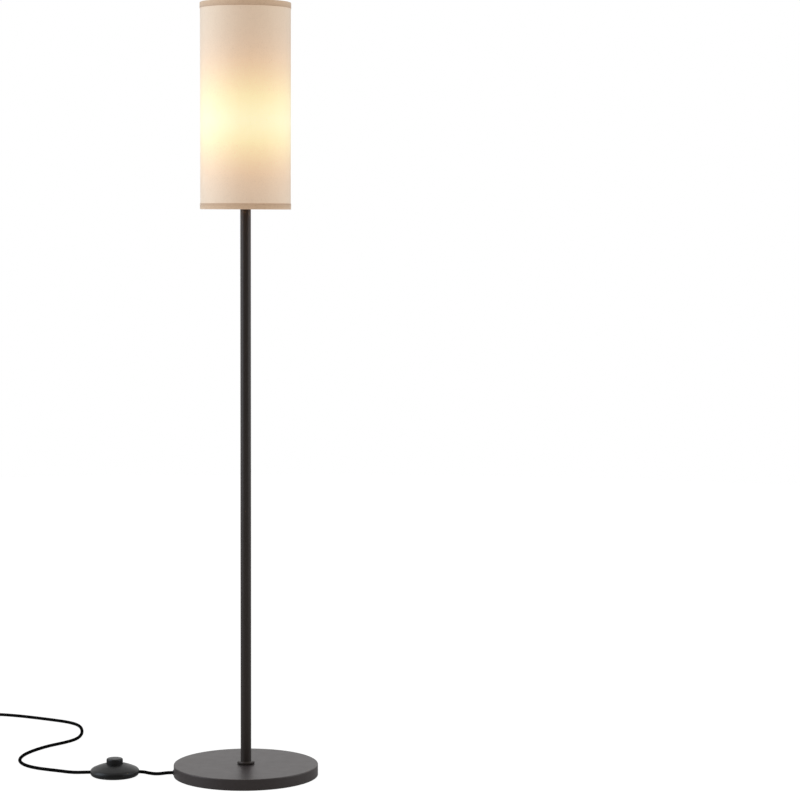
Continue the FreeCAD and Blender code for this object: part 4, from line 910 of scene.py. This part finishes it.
def makeShade():
    span = nodeSize("shade_fabric")
    radius, low, high = span["radius"], span["low"], span["high"]
    grid, uv = revolved(plainWall(radius, low, high, 70), 288)
    angle = angleOf(grid)
    share = (grid[..., 2] / mm - low) / (high - low)
    # the cloth strays by low waves round the drum that fade to nothing at both hoops
    waves = sum(
        size * np.sin(turns * angle + shift + lean * share)
        for size, turns, shift, lean in ((0.5, 3, 0.4, 2.0), (0.3, 7, 1.9, -3.0), (0.2, 13, 4.1, 5.0))
    )
    stray = shade["unevenness"] * waves * np.sin(math.pi * share) ** 0.5
    offset = np.abs((angle - math.pi / 2 + math.pi) % (2 * math.pi) - math.pi) * radius
    lap = np.clip((shade["seamWidth"] / 2 - offset) / 0.4 + 0.5, 0, 1) * shade["seamRise"]
    lap *= np.clip(np.minimum(share, 1 - share) * 60 - 1.5, 0, 1)
    pushedIn(grid, -stray - lap)
    cloth = thickened(gridMesh("shade_linen", [(grid, uv)]), shade["clothWall"])
    dressed(cloth, "linen", "shade", ["shade_fabric"])

    inner, outer = shade["hemInner"], shade["hemOuter"]
    tall, turned = shade["hemHeight"], shade["hemTurnIn"]

    def armGaps(angle):
        # the tape's inner leg is cut away where an arm passes
        gap = np.zeros_like(angle)
        for arm in shade["arms"]:
            away = np.abs((angle - math.radians(arm) + math.pi) % (2 * math.pi) - math.pi) * inner
            gap = np.where(away < shade["armSlot"], turned - 1, gap)
        return gap

    for name, node, sign in (("hem_lower", "shade_hem_bottom", 1), ("hem_upper", "shade_hem_top", -1)):
        box = nodeSize(node)
        edge = box["low"] if sign > 0 else box["high"]
        corners = [
            (inner, edge + sign * turned, 0.2), (inner, edge, 1.2),
            (outer, edge, 1.2), (outer, edge + sign * tall, 0.2),
        ]
        profile = softCorners(corners if sign > 0 else corners[::-1])
        if sign > 0:
            near = [(math.radians(arm) + np.linspace(-0.05, 0.05, 25)) % (2 * math.pi) for arm in shade["arms"]]
            parts = revolved(profile, 288, startAt=armGaps, extra=near)
        else:
            parts = revolved(profile, 288)
        hem = thickened(gridMesh(name, [parts]), shade["hemTape"])
        dressed(hem, "hem", "shade", [node])
    (2 * math.pi * radius + shade["seamWidth"]) * mm
    (high - low) * mm

    film = nodeSize("shade_liner")
    wall = plainWall(film["radius"], film["low"], film["high"], 40)
    sheet = thickened(gridMesh("shade_liner_film", [revolved(wall, 192)]), shade["filmWall"])
    dressed(sheet, "liner", "shade", ["shade_liner"])

    def hoop(level):
        # radius = hoopRadius + half cos t, height = level + half sin t, turned about Z
        turn = np.linspace(0, 2 * math.pi, 17)
        half = shade["hoopWire"] / 2
        circle = np.stack([shade["hoopRadius"] + half * np.cos(turn), level + half * np.sin(turn)], axis=1)
        return revolved(circle, 192)

    top = nodeSize("shade_top_wire")
    dressed(
        gridMesh("shade_upper_hoop", [hoop((top["low"] + top["high"]) / 2)]),
        "enamel", "shade", ["shade_top_wire"],
    )
    fitter = nodeSize("shade_fitter")
    hoopLevel = fitter["low"] + shade["hoopWire"] / 2
    ringLow = nodeSize("socket_body")["high"] - shade["ringBelow"]
    armLevel = ringLow + shade["ringThickness"] / 2
    path = softCorners([
        (25, armLevel, 0), (31, armLevel, 6), (shade["hoopRadius"] - 1, hoopLevel + 1, 0),
    ], steps=9)
    surfaces = [hoop(hoopLevel)]
    for arm in shade["arms"]:
        turn = math.radians(arm)
        points = np.stack([path[:, 0] * math.cos(turn), path[:, 0] * math.sin(turn), path[:, 1]], axis=1)
        surfaces.append(tubeAlong(points, shade["armWire"] / 2, (-math.sin(turn), math.cos(turn), 0)))
    ring = softCorners([
        (shade["ringBore"], ringLow, 0.2), (shade["ringOuter"], ringLow, 0.4),
        (shade["ringOuter"], ringLow + shade["ringThickness"], 0.4),
        (shade["ringBore"], ringLow + shade["ringThickness"], 0.2),
    ], True)
    surfaces.append(revolved(ring, 128))
    dressed(gridMesh("shade_fitter_wire", surfaces), "enamel", "shade", ["shade_fitter"])


makeShade()
print("shade made")


# Foot switch
footSwitch = {
    "rim": 51.0,
    "wall": 2.0,
    "rimRound": 9.0,        # rounding of the cover above the parting line
    "rimAngle": 64,         # degrees that it turns through before the flatter crown
    "bowlArc": 8.2,         # radius of the bowl's side
    "footRadius": 42.5,
    "lipDrop": 3.0,         # top of the cover to the top of the button's flange
    "buttonRadius": 17,
    "buttonRound": 3.4,
    "buttonLip": 1.6,
    "buttonGap": 0.3,
    "bushHole": 3.65,
}


def makeSwitch():
    cover = nodeSize("switch_cover")
    base = nodeSize("switch_base")
    button = nodeSize("switch_button")
    centre = (base["x"], 0)
    rim, top = footSwitch["rim"], cover["high"]
    parting = base["high"]
    bore = footSwitch["buttonRadius"] + footSwitch["buttonGap"]
    # the rim's arc turns through rimAngle; the crown's arc leaves it with the same slope and ends at the
    # button
    rounding = footSwitch["rimRound"]
    rimAngle = math.radians(footSwitch["rimAngle"])
    normal = np.array([math.cos(rimAngle), math.sin(rimAngle)])
    meeting = np.array([rim - rounding, parting + 0.2]) + rounding * normal
    gap = meeting - (bore, top)
    crownRadius = gap @ gap / (2 * gap @ normal)
    dome = np.concatenate([
        arcBetween((rim, parting + 0.2), meeting, rounding, -1, 20)[:-1],
        arcBetween(meeting, (bore, top), crownRadius, -1, 40),
    ])

    def leadHole(angle):
        # half round opening in the rim at both ends of the lead's line
        y = rim * np.sin(angle)
        return np.sqrt(np.maximum(footSwitch["bushHole"] ** 2 - y ** 2, 0))

    mouth = softCorners([(bore + 1.5, top - 0.3, 0), (bore, top, 0.5), (bore, top - 2, 0)])
    outside = np.concatenate([dome[:-1], mouth[1:]])
    near = np.linspace(-0.08, 0.08, 33)
    near = np.concatenate([near, math.pi + near]) % (2 * math.pi)
    shell = gridMesh("switch_dome", [revolved(outside, 192, centre, startAt=leadHole, extra=[near])])
    dressed(thickened(shell, footSwitch["wall"]), "switch", replaces=["switch_cover"])

    bowl = arcBetween((footSwitch["footRadius"], base["low"]), (rim, parting), footSwitch["bowlArc"], -1, 24)
    flat = footSwitch["footRadius"] - 0.5
    lower = np.concatenate([[[0, base["low"]], [flat, base["low"]]], bowl])
    under = gridMesh("switch_bowl", [revolved(lower, 192, centre, endAt=leadHole, extra=[near])])
    dressed(thickened(under, footSwitch["wall"]), "switch", replaces=["switch_base"])

    radius, high = footSwitch["buttonRadius"], button["high"]
    lip, lipTop = radius + footSwitch["buttonLip"], top - footSwitch["lipDrop"]
    low = lipTop - footSwitch["buttonLip"]
    turnedPiece("switch_cap", [
        (0, high - 2, 0), (radius - 2, high - 2, 0.5), (radius - 2, low, 0.2), (lip, low, 0.3),
        (lip, lipTop, 0.3), (radius, lipTop, 0.2), (radius, high, footSwitch["buttonRound"]), (0, high, 0),
    ], "switch", "button", ["switch_button"], closed=False, centre=centre)


makeSwitch()
print("switch made")


# Plug and what holds the coil
plug = {
    "edgeRound": 2.94,     # at both ends
    "squareness": 3.6,     # 2 is an ellipse
    "rows": (0, 0.05, 0.3, 0.9, 1.8, 2.8, 4, 7, 16, 25, 28, 29.5, 30.6, 31.4, 31.85, 32),
}


def makePlug():
    low, high = (np.array(corner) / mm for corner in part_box("plug_body"))
    x, z = (low + high)[[0, 2]] / 2
    halfWide, halfHigh = (high - low)[[0, 2]] / 2
    # section: |x / halfWide|^n + |z / halfHigh|^n = 1, drawn in at both ends by a quarter circle
    turn = np.linspace(0, 2 * math.pi, 97)
    rows = np.array(plug["rows"])
    stations = low[1] + rows * (high[1] - low[1]) / rows[-1]
    fromEnd = np.minimum(stations - low[1], high[1] - stations)
    edge = plug["edgeRound"]
    inset = edge * (1 - np.sqrt(np.clip(1 - (1 - np.clip(fromEnd / edge, 0, 1)) ** 2, 0, 1)))
    cosine, sine = np.cos(turn), np.sin(turn)
    power = 2 / plug["squareness"]
    wide = (halfWide - inset)[:, None] * (np.sign(cosine) * np.abs(cosine) ** power)[None, :]
    tall = (halfHigh - inset)[:, None] * (np.sign(sine) * np.abs(sine) ** power)[None, :]
    along = np.repeat(stations[:, None], len(turn), axis=1)
    grid = np.stack([x - wide, along, z + tall], axis=2)
    grid = np.concatenate([grid[:1], grid, grid[-1:]])
    grid[[0, -1], :, 0] = x  # the first and last rows shrink to a point and close the ends
    grid[[0, -1], :, 2] = z
    uv = np.stack(np.meshgrid(turn * 8, np.linspace(0, rows[-1], len(grid))), axis=2) * mm
    shell = gridMesh("plug_shell", [(grid * mm, uv)])
    return dressed(shell, "plug", replaces=["plug_body"])


plugShell = makePlug()
print("plug made")


# Plain nodes keep their shape
for node, look in (
    ("base_weight", "cast"), ("base_plate", "zinc"), ("base_pad", "rubber"), ("plate_spacers", "zinc"),
    ("plate_screws", "zinc"), ("base_grommet", "rubber"), ("base_lead", "sheath"), ("cord_clamp", "nylon"),
    ("clamp_screw", "zinc"), ("base_washer", "zinc"), ("base_lock_washer", "zinc"), ("base_nut", "zinc"),
    ("base_rod", "zinc"), ("pole_bushes", "zinc"), ("joint_rods", "zinc"), ("pole_wires", "insulation"),
    ("socket_rod", "zinc"), ("socket_contact", "brass"), ("socket_terminals", "brass"),
    ("bulb_contact", "nickel"), ("bulb_insulator", "blackGlass"), ("switch_block", "nylon"),
    ("switch_terminals", "brass"), ("switch_leads", "sheath"), ("switch_bushes", "rubber"),
    ("switch_feet", "rubber"), ("switch_screws", "zinc"), ("switch_spring", "spring"),
    ("coil_tie", "strap"), ("plug_relief", "plug"), ("plug_blades", "nickel"),
):
    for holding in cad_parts[node].material_slots:
        holding.link = "OBJECT"
        holding.material = looks[look]
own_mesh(bpy.data.objects["switch_spring"])
print("plain nodes dressed")

for curve, nodes in (
    (leadToSwitch, ["cord_base_to_switch"]),
    (leadToPlug, ["cord_switch_to_coil", "cord_coil", "cord_tail"]),
):
    curve.data.materials.append(looks["sheath"])
    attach(curve, "stand")
    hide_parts(*nodes)


# Floor, background and light
studio = {
    "floorRadius": 6.0,
    "floorWhite": 1.1,       # how bright the camera sees the floor
    "floorInGloss": 0.35,    # and how bright a glossy surface sees it
    "floorShadow": 0.12,     # share of the truly lit floor in that, which brings its shadows
    "around": colour(0.46, 0.42, 0.37),    # light from all round
    "nearInGloss": 0.06,     # how bright a glossy surface sees the room behind the camera
    "farInGloss": 0.95,      # and beyond the lamp
    "overInGloss": 0.5,      # more of it overhead
    "lights": (
        # name, place, target, width, height, power in watts, colour
        ("light_left", (-2.9, -0.6, 1.7), (0, 0, 1.2), 2.6, 3.0, 64, (0.88, 1.0, 1.16)),
        ("light_right", (3.1, -0.65, 1.7), (0, 0, 1.2), 2.6, 3.0, 46, (0.90, 1.0, 1.12)),
    ),
}


def makeStudio():
    # what the camera and glossy surfaces see of the floor is mostly its own white; what lights the lamp is
    # its diffuse
    finish = Finish("pale floor")
    byCamera = finish.add("ShaderNodeLightPath", output="Is Camera Ray")
    glossy = finish.add("ShaderNodeLightPath", output="Is Glossy Ray")
    grain = finish.noise(finish.place(), 3, 2) * 0.004
    diffuse = finish.add("ShaderNodeBsdfDiffuse", inputs={"Color": grey(0.9)})
    strength = studio["floorWhite"] - glossy * (studio["floorWhite"] - studio["floorInGloss"])
    white = finish.add("ShaderNodeEmission", inputs={"Color": grey(1), "Strength": strength})
    shown = finish.add("ShaderNodeMixShader", inputs={0: studio["floorShadow"] + grain, 1: white, 2: diffuse})
    seen = finish.only("MAXIMUM", byCamera, glossy)
    surface = finish.add("ShaderNodeMixShader", inputs={0: seen, 1: diffuse, 2: shown})
    finish.add("ShaderNodeOutputMaterial", inputs={"Surface": surface})
    corner = np.linspace(0, 2 * math.pi, 129)
    ring = np.stack([np.cos(corner), np.sin(corner), np.zeros_like(corner)], axis=1)
    rows = np.array([0.0, 0.2, 0.5, 1.0])[:, None, None] * ring[None] * studio["floorRadius"]
    floor = gridMesh("floor", [(rows, rows[..., :2])])
    floor.data.materials.append(finish.owner)
    for name, place, target, width, height, power, tint in studio["lights"]:
        data = bpy.data.lights.new(name, "AREA")
        data.shape = "RECTANGLE"
        data.size = width
        data.size_y = height
        data.energy = power
        data.color = tint
        lamp = bpy.data.objects.new(name, data)
        lamp.location = place
        lamp.rotation_euler = (Vector(target) - Vector(place)).to_track_quat("-Z", "Y").to_euler()
        scene.collection.objects.link(lamp)
    world = bpy.data.worlds.new("studio")
    world.cycles.sampling_method = "NONE"
    scene.world = world
    sky = Finish(world)
    byCamera = sky.add("ShaderNodeLightPath", output="Is Camera Ray")
    glossy = sky.add("ShaderNodeLightPath", output="Is Glossy Ray")
    way = sky.parts(sky.place("Generated"))
    side = sky.step(way[1], -1.0, 0.6, studio["nearInGloss"], studio["farInGloss"])
    top = sky.step(way[2], 0.2, 0.9, 0.0, studio["overInGloss"])
    gloss = sky.only("MINIMUM", side + top, 1.0)
    level = sky.mixed(glossy, studio["around"], grey(1))
    level = sky.mixed(byCamera, level, grey(1))
    strength = 1.0 + (glossy - byCamera * glossy) * (gloss - 1.0)
    back = sky.add("ShaderNodeBackground", inputs={"Color": level, "Strength": strength})
    sky.add("ShaderNodeOutputWorld", inputs={"Surface": back})


makeStudio()
